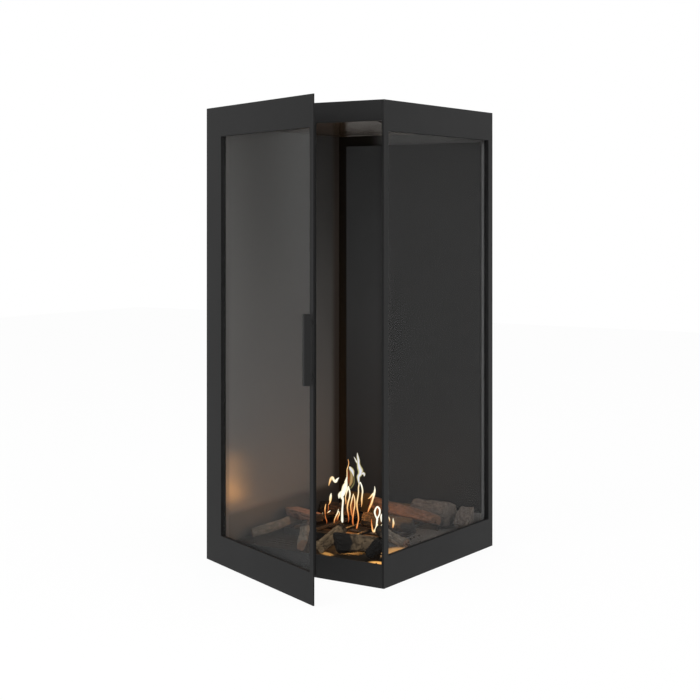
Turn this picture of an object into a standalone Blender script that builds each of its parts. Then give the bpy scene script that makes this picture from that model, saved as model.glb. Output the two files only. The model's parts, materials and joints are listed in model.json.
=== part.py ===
import math
import random

import bmesh
import bpy
from mathutils import Vector
from mathutils.bvhtree import BVHTree

# A square corner fireplace: a hinged glass door in front, a fixed glass on its right side,
# closed walls on its left and back, and ceramic logs over a bioethanol burner.
# Metres, +Z up. The origin is the middle of the base. The door looks along -Y.

# Body
UNIT_WIDTH = 0.500
UNIT_DEPTH = 0.506
UNIT_HEIGHT = 1.080
CASING_SHEET = 0.002
LINER_SHEET = 0.0015
LINTEL_HEIGHT = 0.047
SILL_HEIGHT = 0.053
FLOOR_HEIGHT = 0.045
LEFT_WALL = 0.055
BACK_WALL = 0.025

# Fits, cuts and roundings
FIT_GAP = 0.0003
CUT_OVERRUN = 0.004
EDGE_ROUND = 0.0004
ROUND_SEGMENTS = 2
TURNED_SEGMENTS = 24
ROUND_ANGLE = math.radians(40)
LOG_ANGLE = math.radians(50)

# Front left post with the hinge channel
CHANNEL_WIDTH = 0.030
CHANNEL_DEPTH = 0.011
POST_LEG = 0.042
POST_RETURN = 0.013

# Side frame and its fixed glass
SIDE_PLATE = 0.005
SIDE_STILE_FRONT = 0.019
SIDE_STILE_BACK = 0.021
SIDE_RAIL_TOP = 0.069
SIDE_RAIL_BOTTOM = 0.070
SIDE_COLLAR_DEPTH = 0.003
COLLAR_WALL = 0.002
GASKET_THICKNESS = 0.0014
GASKET_WIDTH = 0.006
GLASS_THICKNESS = 0.004
GLASS_LAP_UPRIGHT = 0.006
GLASS_LAP_LEVEL = 0.008
LEDGE_FOOT = 0.006
LEDGE_LIP = 0.004
ANGLE_LEG = 0.012
RETAINER_SHEET = 0.0015

# Door
DOOR_PLATE = 0.003
DOOR_CLEARANCE = 0.0005
DOOR_FLOOR_CLEARANCE = 0.0015
DOOR_STILE_HINGE = 0.075
DOOR_STILE_FREE = 0.015
DOOR_RAIL = 0.070
DOOR_COLLAR_DEPTH = 0.004
DOOR_OPEN_ANGLE = math.radians(24.1)
DOOR_CLIP_FOOT = 0.008
DOOR_CLIP_INSET = 0.003

# Handle
HANDLE_LENGTH = 0.151
HANDLE_WIDTH = 0.0085
HANDLE_DEPTH = 0.0165
HANDLE_STANDOFF = 0.0045
HANDLE_FOOT = 0.008
HANDLE_FOOT_INSET = 0.014
HANDLE_BASE_HEIGHT = 0.465
HANDLE_EDGE_INSET = 0.001

# Hinges
KNUCKLE_RADIUS = 0.003
KNUCKLE_HEIGHT = 0.016
HINGE_EDGE_INSET = 0.004
HINGE_END_OFFSET = 0.110
HINGE_LEAF_LENGTH = 0.020
HINGE_LEAF_THICKNESS = 0.002
HINGE_WEB = 0.003
PIN_RADIUS = 0.0014
PIN_HEAD_RADIUS = 0.0026
PIN_HEAD_HEIGHT = 0.002
PIN_CLEARANCE = 0.00009
KNUCKLE_SEGMENTS = 20

# Magnet that holds the closed door
MAGNET_RADIUS = 0.006
MAGNET_LENGTH = 0.012
MAGNET_X = 0.045

# Back panel of black glass
PANEL_LEFT_MARGIN = 0.029
PANEL_BASE_GAP = 0.005
PANEL_TOP_DROP = 0.027
PANEL_THICKNESS = 0.004
PANEL_STANDOFF = 0.006
PANEL_RAIL_HEIGHT = 0.030
PANEL_LIP = 0.0015
PANEL_RAIL_INSET = 0.016

# Vent slots
FLOOR_SLOT_LENGTH = 0.086
FLOOR_SLOT_WIDTH = 0.003
FLOOR_SLOT_PITCH = 0.0175
FLOOR_SLOT_COUNT = 3
FLOOR_SLOT_X = -0.091
FLOOR_SLOT_FIRST_Y = -0.183
FLUE_SLOT_WIDTH = 0.016
FLUE_SLOT_INSET = 0.030
TOP_SLOT_LENGTH = 0.070
TOP_SLOT_WIDTH = 0.006
TOP_SLOT_PITCH = 0.018
TOP_SLOT_COUNT = 18
TOP_SLOT_INSET = 0.045
BACK_SLOT_WIDTH = 0.005
BACK_SLOT_HEIGHT = 0.020
BACK_SLOT_PITCH = 0.024
BACK_SLOT_COUNT = 12
BACK_SLOT_BASE = 0.012

# Burner
BURNER_X = 0.005
BURNER_Y = 0.015
TANK_LENGTH = 0.220
TANK_WIDTH = 0.104
TANK_BASE_HEIGHT = 0.006
TANK_SHEET = 0.0015
TANK_FLANGE = 0.008
TANK_HOLE_CLEARANCE = 0.0015
BURNER_TOP_LENGTH = 0.250
BURNER_TOP_WIDTH = 0.122
FLAME_SLOT_LENGTH = 0.180
FLAME_SLOT_WIDTH = 0.030
FLAME_SLOT_OFFSET = -0.020
WOOL_CLEARANCE = 0.0005
DAMPER_LENGTH = 0.200
DAMPER_WIDTH = 0.042
DAMPER_SHEET = 0.0015
DAMPER_TRAVEL = 0.046
DAMPER_RAIL_SHEET = 0.001
DAMPER_RAIL_FOOT = 0.008
DAMPER_RAIL_LIP = 0.005
DAMPER_RAIL_END = 0.010
KNOB_RADIUS = 0.006
KNOB_HEIGHT = 0.006
KNOB_WAIST_RADIUS = 0.004
KNOB_INSET = 0.020

# Log grate
GRATE_WIDTH = 0.300
GRATE_FRONT_Y = -0.090
GRATE_BACK_Y = 0.150
GRATE_RAIL_THICKNESS = 0.005
GRATE_RAIL_HEIGHT = 0.0157
GRATE_BAR_SIZE = 0.006
GRATE_BAR_PITCH = 0.060
GRATE_BAR_COUNT = 5

# Ceramic logs
LOG_RADIUS = 0.020
LOG_REST_GAP = 0.0004
LOG_SIDES = 16
LOG_RINGS = 11
LOG_DROP_STEPS = 60

# Each log lies from start to end, given as shares of the chamber's width and depth from its middle.
# Its rise, girth and bend are shares of the log radius, its taper is the girth left at its end,
# and its splits are the flat sides, each a share of a turn.
log_layout_shares = {
    "log_branch_left": {"start": (-0.462, -0.345), "end": (-0.358, -0.145), "rise": 1.0, "girth": 0.66,
                        "taper": 0.85, "bend": 0.25, "splits": ()},
    "log_front_right": {"start": (0.143, -0.402), "end": (0.322, -0.262), "rise": -0.40, "girth": 1.42,
                        "taper": 0.74, "bend": 0.10, "splits": (0.04, 0.40)},
    "log_charred_stub": {"start": (0.384, -0.402), "end": (0.430, -0.394), "rise": 1.80, "girth": 1.12,
                         "taper": 0.70, "bend": 0.05, "splits": (0.62,)},
    "log_birch": {"start": (0.080, 0.436), "end": (0.350, 0.434), "rise": 0.0, "girth": 1.60,
                  "taper": 1.03, "bend": 0.10, "splits": (0.50,)},
    "log_back_right": {"start": (0.388, 0.442), "end": (0.486, 0.432), "rise": 0.0, "girth": 1.46,
                       "taper": 0.98, "bend": 0.0, "splits": (0.50, 0.12)},
    "log_front_split": {"start": (0.072, -0.447), "end": (0.041, -0.182), "rise": 1.30, "girth": 0.86,
                        "taper": 0.80, "bend": 0.10, "splits": (0.10, 0.60)},
    "log_left_top": {"start": (-0.455, -0.005), "end": (-0.209, -0.060), "rise": -0.1, "girth": 0.95,
                     "taper": 0.85, "bend": 0.15, "splits": (0.25,)},
    "log_left_back": {"start": (-0.390, 0.165), "end": (-0.150, 0.235), "rise": 0.1, "girth": 1.20,
                      "taper": 0.90, "bend": 0.12, "splits": (0.75,)},
    "log_back_centre": {"start": (-0.140, 0.335), "end": (0.362, 0.245), "rise": -0.5, "girth": 1.12,
                        "taper": 0.80, "bend": 0.18, "splits": (0.80,)},
    "log_centre_charred": {"start": (0.045, -0.005), "end": (0.375, -0.008), "rise": 0.0, "girth": 1.10,
                           "taper": 0.90, "bend": 0.15, "splits": (0.15,)},
    "log_right_branch": {"start": (0.225, -0.110), "end": (0.440, -0.168), "rise": -0.9, "girth": 0.66,
                         "taper": 0.82, "bend": 0.35, "splits": ()},
    "log_front_left": {"start": (-0.033, -0.446), "end": (-0.161, -0.252), "rise": 1.25, "girth": 0.82,
                       "taper": 0.92, "bend": 0.10, "splits": (0.95,)},
}
log_end_taper_share = 0.88
log_end_slant_share = 0.30
log_slant_ring_share = 0.60
log_ripple_share = 0.07
log_roughness_share = 0.05
log_split_depth_share = 0.45
log_upright_share = 0.07
log_knot_turns = 1.5

# Finishes: colour, roughness and metallic value of each kind of surface
finishes = {
    "black_paint": ((0.032, 0.032, 0.032), 0.42, 0.0),
    "dark_liner": ((0.045, 0.043, 0.041), 0.28, 0.9),
    "black_glass": ((0.012, 0.012, 0.012), 0.06, 0.0),
    "smoked_glass": ((0.20, 0.20, 0.20), 0.04, 0.0),
    "graphite_seal": ((0.018, 0.018, 0.018), 0.85, 0.0),
    "insulation": ((0.62, 0.58, 0.50), 0.95, 0.0),
    "stainless": ((0.50, 0.49, 0.47), 0.30, 1.0),
    "bright_pin": ((0.55, 0.55, 0.55), 0.25, 1.0),
    "magnet": ((0.10, 0.10, 0.11), 0.35, 1.0),
    "wool": ((0.78, 0.76, 0.72), 1.0, 0.0),
    "grate_iron": ((0.020, 0.019, 0.018), 0.70, 0.6),
    "log_bark": ((0.055, 0.040, 0.028), 0.92, 0.0),
    "log_split_wood": ((0.23, 0.16, 0.10), 0.90, 0.0),
    "log_charcoal": ((0.012, 0.011, 0.010), 0.90, 0.0),
    "log_birch_bark": ((0.30, 0.27, 0.23), 0.88, 0.0),
}

# Planes that the pieces share
left = -UNIT_WIDTH / 2
right = UNIT_WIDTH / 2
front = -UNIT_DEPTH / 2
back = UNIT_DEPTH / 2
inside_left = left + CASING_SHEET + FIT_GAP
inside_right = right - SIDE_PLATE - FIT_GAP
inside_front = front + CASING_SHEET + FIT_GAP
inside_back = back - CASING_SHEET - FIT_GAP
lintel_bottom = UNIT_HEIGHT - LINTEL_HEIGHT
ceiling_top = lintel_bottom + CASING_SHEET
floor_bottom = FLOOR_HEIGHT - CASING_SHEET
on_floor = FLOOR_HEIGHT + FIT_GAP
under_ceiling = lintel_bottom - FIT_GAP
chamber_left = left + LEFT_WALL
chamber_back = back - BACK_WALL
panel_back = chamber_back - PANEL_STANDOFF
panel_front = panel_back - PANEL_THICKNESS

# The hinge axis sits just behind the closed door, one knuckle in from its back face
door_back = front - DOOR_CLEARANCE
door_front = door_back - DOOR_PLATE
hinge_x = left + HINGE_EDGE_INSET
hinge_y = door_back + FIT_GAP + KNUCKLE_RADIUS


def remove_everything():
    for item in list(bpy.data.objects):
        bpy.data.objects.remove(item, do_unlink=True)


def material_for(name, finish):
    colour, roughness, metallic = finishes[finish]
    material = bpy.data.materials.new(name)
    material.use_nodes = True
    shader = material.node_tree.nodes["Principled BSDF"]
    shader.inputs["Base Color"].default_value = (*colour, 1.0)
    shader.inputs["Roughness"].default_value = roughness
    shader.inputs["Metallic"].default_value = metallic
    return material


def add_empty(name, place, turn=0.0):
    empty = bpy.data.objects.new(name, None)
    empty.location = place
    empty.rotation_euler = (0.0, 0.0, turn)
    bpy.context.collection.objects.link(empty)
    return empty


def add_piece(name, shape, finish, carrier=None, smooth_under=None):
    """Turn a bmesh drawn in closed-door room coordinates into a named object."""
    bmesh.ops.recalc_face_normals(shape, faces=shape.faces)
    if carrier:
        bmesh.ops.translate(shape, verts=shape.verts, vec=-carrier.location)
    mesh = bpy.data.meshes.new(name)
    shape.to_mesh(mesh)
    shape.free()
    mesh.materials.append(material_for(name + "_material", finish))
    if smooth_under:
        mesh.shade_smooth()
        mesh.set_sharp_from_angle(angle=smooth_under)
    piece = bpy.data.objects.new(name, mesh)
    piece.parent = carrier
    bpy.context.collection.objects.link(piece)
    return piece


def spot(axis, first, second, level):
    if axis == "Z":
        return Vector((first, second, level))
    if axis == "X":
        return Vector((level, first, second))
    return Vector((first, level, second))


def grown(rect, margin):
    return (rect[0] - margin, rect[1] - margin, rect[2] + margin, rect[3] + margin)


def ring_shape(axis, rings, capped):
    """Bridge a row of rectangles, each (rect, level), into one closed body."""
    shape = bmesh.new()
    loops = []
    for (low_a, low_b, high_a, high_b), level in rings:
        corners = ((low_a, low_b), (high_a, low_b), (high_a, high_b), (low_a, high_b))
        loops.append([shape.verts.new(spot(axis, a, b, level)) for a, b in corners])
    pairs = list(zip(loops, loops[1:]))
    if not capped:
        pairs.append((loops[-1], loops[0]))
    for one, two in pairs:
        for index in range(len(one)):
            after = (index + 1) % len(one)
            shape.faces.new((one[index], one[after], two[after], two[index]))
    if capped:
        shape.faces.new(loops[0])
        shape.faces.new(loops[-1])
    return shape


def box_shape(low, high):
    return ring_shape("Z", [((low[0], low[1], high[0], high[1]), low[2]),
                            ((low[0], low[1], high[0], high[1]), high[2])], capped=True)


def prism_shape(axis, outline, low, high):
    shape = bmesh.new()
    near = [shape.verts.new(spot(axis, a, b, low)) for a, b in outline]
    far = [shape.verts.new(spot(axis, a, b, high)) for a, b in outline]
    shape.faces.new(near)
    shape.faces.new(far)
    for index in range(len(near)):
        after = (index + 1) % len(near)
        shape.faces.new((near[index], near[after], far[after], far[index]))
    return shape


def turned_shape(centre, axis, profile, segments=TURNED_SEGMENTS):
    """Turn a profile of (radius, level) pairs about a line along the axis, with flat ends."""
    shape = bmesh.new()
    loops = []
    for radius, level in profile:
        loop = []
        for step in range(segments):
            angle = math.tau * step / segments
            first = centre[0] + radius * math.cos(angle)
            second = centre[1] + radius * math.sin(angle)
            loop.append(shape.verts.new(spot(axis, first, second, level)))
        loops.append(loop)
    for one, two in zip(loops, loops[1:]):
        for step in range(segments):
            after = (step + 1) % segments
            shape.faces.new((one[step], one[after], two[after], two[step]))
    shape.faces.new(loops[0])
    shape.faces.new(loops[-1])
    return shape


def folded_outline(path, thickness):
    """Outline of a sheet folded along a path, with its thickness on the path's left."""
    points = [Vector(point) for point in path]
    sides = []
    for start, end in zip(points, points[1:]):
        run = (end - start).normalized()
        sides.append(Vector((-run.y, run.x)))
    inner = []
    for index, point in enumerate(points):
        before = sides[max(index - 1, 0)]
        after = sides[min(index, len(sides) - 1)]
        mitre = before + after
        inner.append(point + mitre * (thickness * 2 / mitre.length_squared))
    return [tuple(point) for point in points] + [tuple(point) for point in reversed(inner)]


def arc_points(centre, radius, start, end, count):
    points = []
    for step in range(count + 1):
        angle = start + (end - start) * step / count
        points.append((centre[0] + radius * math.cos(angle), centre[1] + radius * math.sin(angle)))
    return points


def soften(piece):
    bevel = piece.modifiers.new("soft_edges", "BEVEL")
    bevel.width = EDGE_ROUND
    bevel.segments = ROUND_SEGMENTS
    bevel.limit_method = "ANGLE"


def cut_with(piece, name, shapes):
    """Cut a piece with several closed shapes at once."""
    joined = bmesh.new()
    for shape in shapes:
        bmesh.ops.recalc_face_normals(shape, faces=shape.faces)
        part = bpy.data.meshes.new("cutter_part")
        shape.to_mesh(part)
        shape.free()
        joined.from_mesh(part)
        bpy.data.meshes.remove(part)
    mesh = bpy.data.meshes.new(name)
    joined.to_mesh(mesh)
    joined.free()
    cutter = bpy.data.objects.new(name, mesh)
    cutter.hide_render = True
    cutter.display_type = "WIRE"
    cutter.parent = piece.parent
    bpy.context.collection.objects.link(cutter)
    boolean = piece.modifiers.new(name, "BOOLEAN")
    boolean.operation = "DIFFERENCE"
    boolean.solver = "EXACT"
    boolean.object = cutter


def build_casing():
    pan_rect = (inside_left, inside_front, inside_right, inside_back)
    pan_inner = grown(pan_rect, -CASING_SHEET)
    pan = add_piece("base_pan", ring_shape("Z", [
        (pan_inner, CASING_SHEET),
        (pan_inner, floor_bottom - FIT_GAP),
        (pan_rect, floor_bottom - FIT_GAP),
        (pan_rect, 0.0),
    ], capped=True), "black_paint")

    lid_bottom = ceiling_top + FIT_GAP
    lid = add_piece("top_casing", ring_shape("Z", [
        (pan_inner, UNIT_HEIGHT - CASING_SHEET),
        (pan_inner, lid_bottom),
        (pan_rect, lid_bottom),
        (pan_rect, UNIT_HEIGHT),
    ], capped=True), "black_paint")

    casing_front = front + CHANNEL_DEPTH
    side = box_shape((left, casing_front, 0.0), (left + CASING_SHEET, back, UNIT_HEIGHT))
    soften(add_piece("left_casing", side, "black_paint"))
    rear = add_piece("back_casing", box_shape((inside_left, back - CASING_SHEET, 0.0),
                                              (inside_right, back, UNIT_HEIGHT)), "black_paint")

    strip_left = left + CASING_SHEET
    strip_back = front + CASING_SHEET
    lintel = add_piece("front_lintel", box_shape((strip_left, front, lintel_bottom),
                                                 (inside_right, strip_back, UNIT_HEIGHT)), "black_paint")
    sill = add_piece("front_sill", box_shape((strip_left, front, 0.0),
                                             (inside_right, strip_back, SILL_HEIGHT)), "black_paint")
    soften(lintel)
    soften(sill)

    vents = []
    row = (TOP_SLOT_COUNT - 1) * TOP_SLOT_PITCH
    for index in range(TOP_SLOT_COUNT):
        x = index * TOP_SLOT_PITCH - row / 2
        low_y = inside_back - TOP_SLOT_INSET - TOP_SLOT_LENGTH
        vents.append(box_shape((x - TOP_SLOT_WIDTH / 2, low_y, UNIT_HEIGHT - CASING_SHEET - CUT_OVERRUN),
                               (x + TOP_SLOT_WIDTH / 2, low_y + TOP_SLOT_LENGTH, UNIT_HEIGHT + CUT_OVERRUN)))
    cut_with(lid, "top_vents", vents)

    for piece, name in ((rear, "back_vents"), (pan, "pan_vents")):
        intakes = []
        row = (BACK_SLOT_COUNT - 1) * BACK_SLOT_PITCH
        for index in range(BACK_SLOT_COUNT):
            x = index * BACK_SLOT_PITCH - row / 2
            low = (x - BACK_SLOT_WIDTH / 2, pan_inner[3] - CUT_OVERRUN, BACK_SLOT_BASE)
            high = (x + BACK_SLOT_WIDTH / 2, back + CUT_OVERRUN, BACK_SLOT_BASE + BACK_SLOT_HEIGHT)
            intakes.append(box_shape(low, high))
        cut_with(piece, name, intakes)

    magnet_centre = (MAGNET_X, (lintel_bottom + UNIT_HEIGHT) / 2)
    for piece, name in ((lintel, "lintel_magnet_hole"), (lid, "lid_magnet_hole")):
        hole = turned_shape(magnet_centre, "Y", [(MAGNET_RADIUS + FIT_GAP, front - CUT_OVERRUN),
                                                 (MAGNET_RADIUS + FIT_GAP, pan_inner[1] + CUT_OVERRUN)])
        cut_with(piece, name, [hole])
    magnet = turned_shape(magnet_centre, "Y", [(MAGNET_RADIUS, front),
                                               (MAGNET_RADIUS, front + MAGNET_LENGTH)])
    add_piece("magnet_catch", magnet, "magnet", smooth_under=ROUND_ANGLE)


def build_post():
    channel_right = left + CHANNEL_WIDTH
    path = [
        (inside_left, front + CHANNEL_DEPTH + POST_LEG),
        (inside_left, front + CHANNEL_DEPTH),
        (channel_right, front + CHANNEL_DEPTH),
        (channel_right, front),
        (chamber_left, front),
        (chamber_left, front + POST_RETURN),
    ]
    outline = folded_outline(path, CASING_SHEET)
    add_piece("left_post", prism_shape("Z", outline, SILL_HEIGHT + FIT_GAP, under_ceiling), "black_paint")


def build_chamber():
    wall_inside = chamber_left - LINER_SHEET
    liner_front = front + POST_RETURN + FIT_GAP
    add_piece("left_liner", box_shape((wall_inside, liner_front, on_floor),
                                      (chamber_left, chamber_back - FIT_GAP, under_ceiling)), "dark_liner")
    glass_inner = side_glass_inner()
    liner_right = glass_inner - 2 * FIT_GAP
    fold_left = liner_right - LINER_SHEET
    liner_back = chamber_back + LINER_SHEET
    folded_liner = [
        (wall_inside, chamber_back),
        (liner_right, chamber_back),
        (liner_right, inside_back),
        (fold_left, inside_back),
        (fold_left, liner_back),
        (wall_inside, liner_back),
    ]
    add_piece("back_liner", prism_shape("Z", folded_liner, on_floor, under_ceiling), "dark_liner")
    board_front = front + CHANNEL_DEPTH + POST_LEG + FIT_GAP
    add_piece("left_insulation", box_shape((inside_left, board_front, on_floor),
                                           (wall_inside - FIT_GAP, inside_back, under_ceiling)), "insulation")
    add_piece("back_insulation", box_shape((wall_inside, liner_back + FIT_GAP, on_floor),
                                           (fold_left - FIT_GAP, inside_back, under_ceiling)), "insulation")

    ceiling = add_piece("ceiling_plate", box_shape((inside_left, inside_front, lintel_bottom),
                                                   (inside_right, inside_back, ceiling_top)), "dark_liner")
    flue_front = panel_front - FLUE_SLOT_WIDTH
    flue = box_shape((chamber_left + FLUE_SLOT_INSET, flue_front, lintel_bottom - CUT_OVERRUN),
                     (glass_inner - FLUE_SLOT_INSET, panel_front, ceiling_top + CUT_OVERRUN))
    cut_with(ceiling, "flue_slot", [flue])

    floor = add_piece("floor_plate", box_shape((inside_left, inside_front, floor_bottom),
                                               (inside_right, inside_back, FLOOR_HEIGHT)), "dark_liner")
    hole = grown(tank_rect(), TANK_HOLE_CLEARANCE)
    openings = [box_shape((hole[0], hole[1], floor_bottom - CUT_OVERRUN),
                          (hole[2], hole[3], FLOOR_HEIGHT + CUT_OVERRUN))]
    for index in range(FLOOR_SLOT_COUNT):
        y = FLOOR_SLOT_FIRST_Y + index * FLOOR_SLOT_PITCH
        low = (FLOOR_SLOT_X - FLOOR_SLOT_LENGTH / 2, y - FLOOR_SLOT_WIDTH / 2, floor_bottom - CUT_OVERRUN)
        high = (FLOOR_SLOT_X + FLOOR_SLOT_LENGTH / 2, y + FLOOR_SLOT_WIDTH / 2, FLOOR_HEIGHT + CUT_OVERRUN)
        openings.append(box_shape(low, high))
    cut_with(floor, "floor_openings", openings)
    return floor


def build_back_panel():
    panel_right = side_glass_inner() - FIT_GAP
    panel_left = chamber_left + PANEL_LEFT_MARGIN
    panel_base = FLOOR_HEIGHT + PANEL_BASE_GAP
    panel_top = lintel_bottom - PANEL_TOP_DROP
    panel = box_shape((panel_left, panel_front, panel_base), (panel_right, panel_back, panel_top))
    soften(add_piece("back_panel", panel, "black_glass"))
    rail_left = panel_left + PANEL_RAIL_INSET
    rail_right = panel_right - PANEL_RAIL_INSET
    rail_front = panel_back + FIT_GAP
    rail_back = chamber_back - FIT_GAP
    lower = [
        (rail_back, on_floor),
        (rail_back, on_floor + PANEL_RAIL_HEIGHT),
        (rail_front, on_floor + PANEL_RAIL_HEIGHT),
        (rail_front, panel_base - FIT_GAP),
        (panel_front - PANEL_LIP, panel_base - FIT_GAP),
        (panel_front - PANEL_LIP, on_floor),
    ]
    add_piece("panel_rail_lower", prism_shape("X", lower, rail_left, rail_right), "black_paint")
    upper_top = panel_top - PANEL_RAIL_INSET
    add_piece("panel_rail_upper", box_shape((rail_left, rail_front, upper_top - PANEL_RAIL_HEIGHT),
                                            (rail_right, rail_back, upper_top)), "black_paint")


def side_window():
    return (front + SIDE_STILE_FRONT, SIDE_RAIL_BOTTOM, back - SIDE_STILE_BACK, UNIT_HEIGHT - SIDE_RAIL_TOP)


def side_glass_outer():
    gasket = SIDE_COLLAR_DEPTH + FIT_GAP + GASKET_THICKNESS + FIT_GAP
    return right - SIDE_PLATE - gasket


def side_glass_inner():
    return side_glass_outer() - GLASS_THICKNESS


def build_side():
    window = side_window()
    outer = (front, 0.0, back, UNIT_HEIGHT)
    collar = grown(window, COLLAR_WALL)
    plate_back = right - SIDE_PLATE
    collar_back = plate_back - SIDE_COLLAR_DEPTH
    soften(add_piece("side_frame", ring_shape("X", [
        (outer, right),
        (window, right),
        (window, collar_back),
        (collar, collar_back),
        (collar, plate_back),
        (outer, plate_back),
    ], capped=False), "black_paint"))

    gasket_out = collar_back - FIT_GAP
    gasket_in = gasket_out - GASKET_THICKNESS
    gasket_edge = grown(window, FIT_GAP)
    gasket_rim = grown(window, GASKET_WIDTH)
    add_piece("side_gasket", ring_shape("X", [
        (gasket_rim, gasket_out),
        (gasket_edge, gasket_out),
        (gasket_edge, gasket_in),
        (gasket_rim, gasket_in),
    ], capped=False), "graphite_seal")

    glass_low = (window[0] - GLASS_LAP_UPRIGHT, window[1] - GLASS_LAP_LEVEL)
    glass_high = (window[2] + GLASS_LAP_UPRIGHT, window[3] + GLASS_LAP_LEVEL)
    glass = box_shape((side_glass_inner(), *glass_low), (side_glass_outer(), *glass_high))
    soften(add_piece("side_glass", glass, "smoked_glass"))

    ledge_out = side_glass_inner() - FIT_GAP
    shelf_top = glass_low[1] - FIT_GAP
    lip_top = glass_low[1] + LEDGE_LIP
    ledge = [
        (ledge_out - RETAINER_SHEET - LEDGE_FOOT, on_floor),
        (ledge_out, on_floor),
        (ledge_out, shelf_top - RETAINER_SHEET),
        (inside_right, shelf_top - RETAINER_SHEET),
        (inside_right, shelf_top),
        (ledge_out, shelf_top),
        (ledge_out, lip_top),
        (ledge_out - RETAINER_SHEET, lip_top),
        (ledge_out - RETAINER_SHEET, on_floor + RETAINER_SHEET),
        (ledge_out - RETAINER_SHEET - LEDGE_FOOT, on_floor + RETAINER_SHEET),
    ]
    ledge_front = glass_low[0] + RETAINER_SHEET
    ledge_back = panel_front - PANEL_LIP - FIT_GAP
    add_piece("side_glass_ledge", prism_shape("Y", ledge, ledge_front, ledge_back), "black_paint")

    angle_path = [
        (ledge_out - ANGLE_LEG, under_ceiling),
        (ledge_out - ANGLE_LEG, under_ceiling - RETAINER_SHEET),
        (ledge_out - RETAINER_SHEET, under_ceiling - RETAINER_SHEET),
        (ledge_out - RETAINER_SHEET, window[3] + LEDGE_LIP),
        (ledge_out, window[3] + LEDGE_LIP),
        (ledge_out, under_ceiling),
    ]
    add_piece("side_glass_angle", prism_shape("Y", angle_path, ledge_front, ledge_back), "black_paint")


def tank_rect():
    return (BURNER_X - TANK_LENGTH / 2, BURNER_Y - TANK_WIDTH / 2,
            BURNER_X + TANK_LENGTH / 2, BURNER_Y + TANK_WIDTH / 2)


def build_burner():
    outer = tank_rect()
    inner = grown(outer, -TANK_SHEET)
    flange = grown(outer, TANK_FLANGE)
    flange_top = on_floor + TANK_SHEET
    add_piece("burner_tank", ring_shape("Z", [
        (inner, TANK_BASE_HEIGHT + TANK_SHEET),
        (inner, flange_top),
        (flange, flange_top),
        (flange, on_floor),
        (outer, on_floor),
        (outer, TANK_BASE_HEIGHT),
    ], capped=True), "stainless")

    wool = grown(inner, -WOOL_CLEARANCE)
    add_piece("burner_wool", box_shape((wool[0], wool[1], TANK_BASE_HEIGHT + TANK_SHEET + FIT_GAP),
                                       (wool[2], wool[3], on_floor)), "wool")

    top_bottom = flange_top + FIT_GAP
    top_top = top_bottom + TANK_SHEET
    top_rect = (BURNER_X - BURNER_TOP_LENGTH / 2, BURNER_Y - BURNER_TOP_WIDTH / 2,
                BURNER_X + BURNER_TOP_LENGTH / 2, BURNER_Y + BURNER_TOP_WIDTH / 2)
    slot_y = BURNER_Y + FLAME_SLOT_OFFSET
    slot_rect = (BURNER_X - FLAME_SLOT_LENGTH / 2, slot_y - FLAME_SLOT_WIDTH / 2,
                 BURNER_X + FLAME_SLOT_LENGTH / 2, slot_y + FLAME_SLOT_WIDTH / 2)
    add_piece("burner_top", ring_shape("Z", [
        (top_rect, top_top),
        (slot_rect, top_top),
        (slot_rect, top_bottom),
        (top_rect, top_bottom),
    ], capped=False), "stainless")

    # The damper rests open behind the flame slot, between two guide rails
    damper_bottom = top_top + FIT_GAP
    damper_top = damper_bottom + DAMPER_SHEET
    damper_y = slot_y + DAMPER_TRAVEL
    slide = add_empty("damper_slide_axis", (BURNER_X, damper_y, damper_bottom))
    half_length = DAMPER_LENGTH / 2
    half_width = DAMPER_WIDTH / 2
    add_piece("damper_plate", box_shape((BURNER_X - half_length, damper_y - half_width, damper_bottom),
                                        (BURNER_X + half_length, damper_y + half_width, damper_top)),
              "stainless", slide)
    knob_base = damper_top + FIT_GAP
    knob = turned_shape((BURNER_X + half_length - KNOB_INSET, damper_y), "Z", [
        (KNOB_WAIST_RADIUS, knob_base),
        (KNOB_WAIST_RADIUS, knob_base + KNOB_HEIGHT / 3),
        (KNOB_RADIUS, knob_base + KNOB_HEIGHT / 2),
        (KNOB_RADIUS, knob_base + KNOB_HEIGHT),
    ])
    add_piece("damper_knob", knob, "stainless", slide, smooth_under=ROUND_ANGLE)

    rail_top = damper_top + FIT_GAP + DAMPER_RAIL_SHEET
    rail_front = top_rect[1] + DAMPER_RAIL_END
    rail_back = top_rect[3]
    for name, hand in (("damper_rail_left", -1), ("damper_rail_right", 1)):
        riser = half_length + FIT_GAP
        profile = [
            (riser + DAMPER_RAIL_SHEET + DAMPER_RAIL_FOOT, damper_bottom),
            (riser, damper_bottom),
            (riser, rail_top - DAMPER_RAIL_SHEET),
            (riser - DAMPER_RAIL_LIP, rail_top - DAMPER_RAIL_SHEET),
            (riser - DAMPER_RAIL_LIP, rail_top),
            (riser + DAMPER_RAIL_SHEET, rail_top),
            (riser + DAMPER_RAIL_SHEET, damper_bottom + DAMPER_RAIL_SHEET),
            (riser + DAMPER_RAIL_SHEET + DAMPER_RAIL_FOOT, damper_bottom + DAMPER_RAIL_SHEET),
        ]
        placed = [(BURNER_X + hand * x, z) for x, z in profile]
        add_piece(name, prism_shape("Y", placed, rail_front, rail_back), "stainless")


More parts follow.
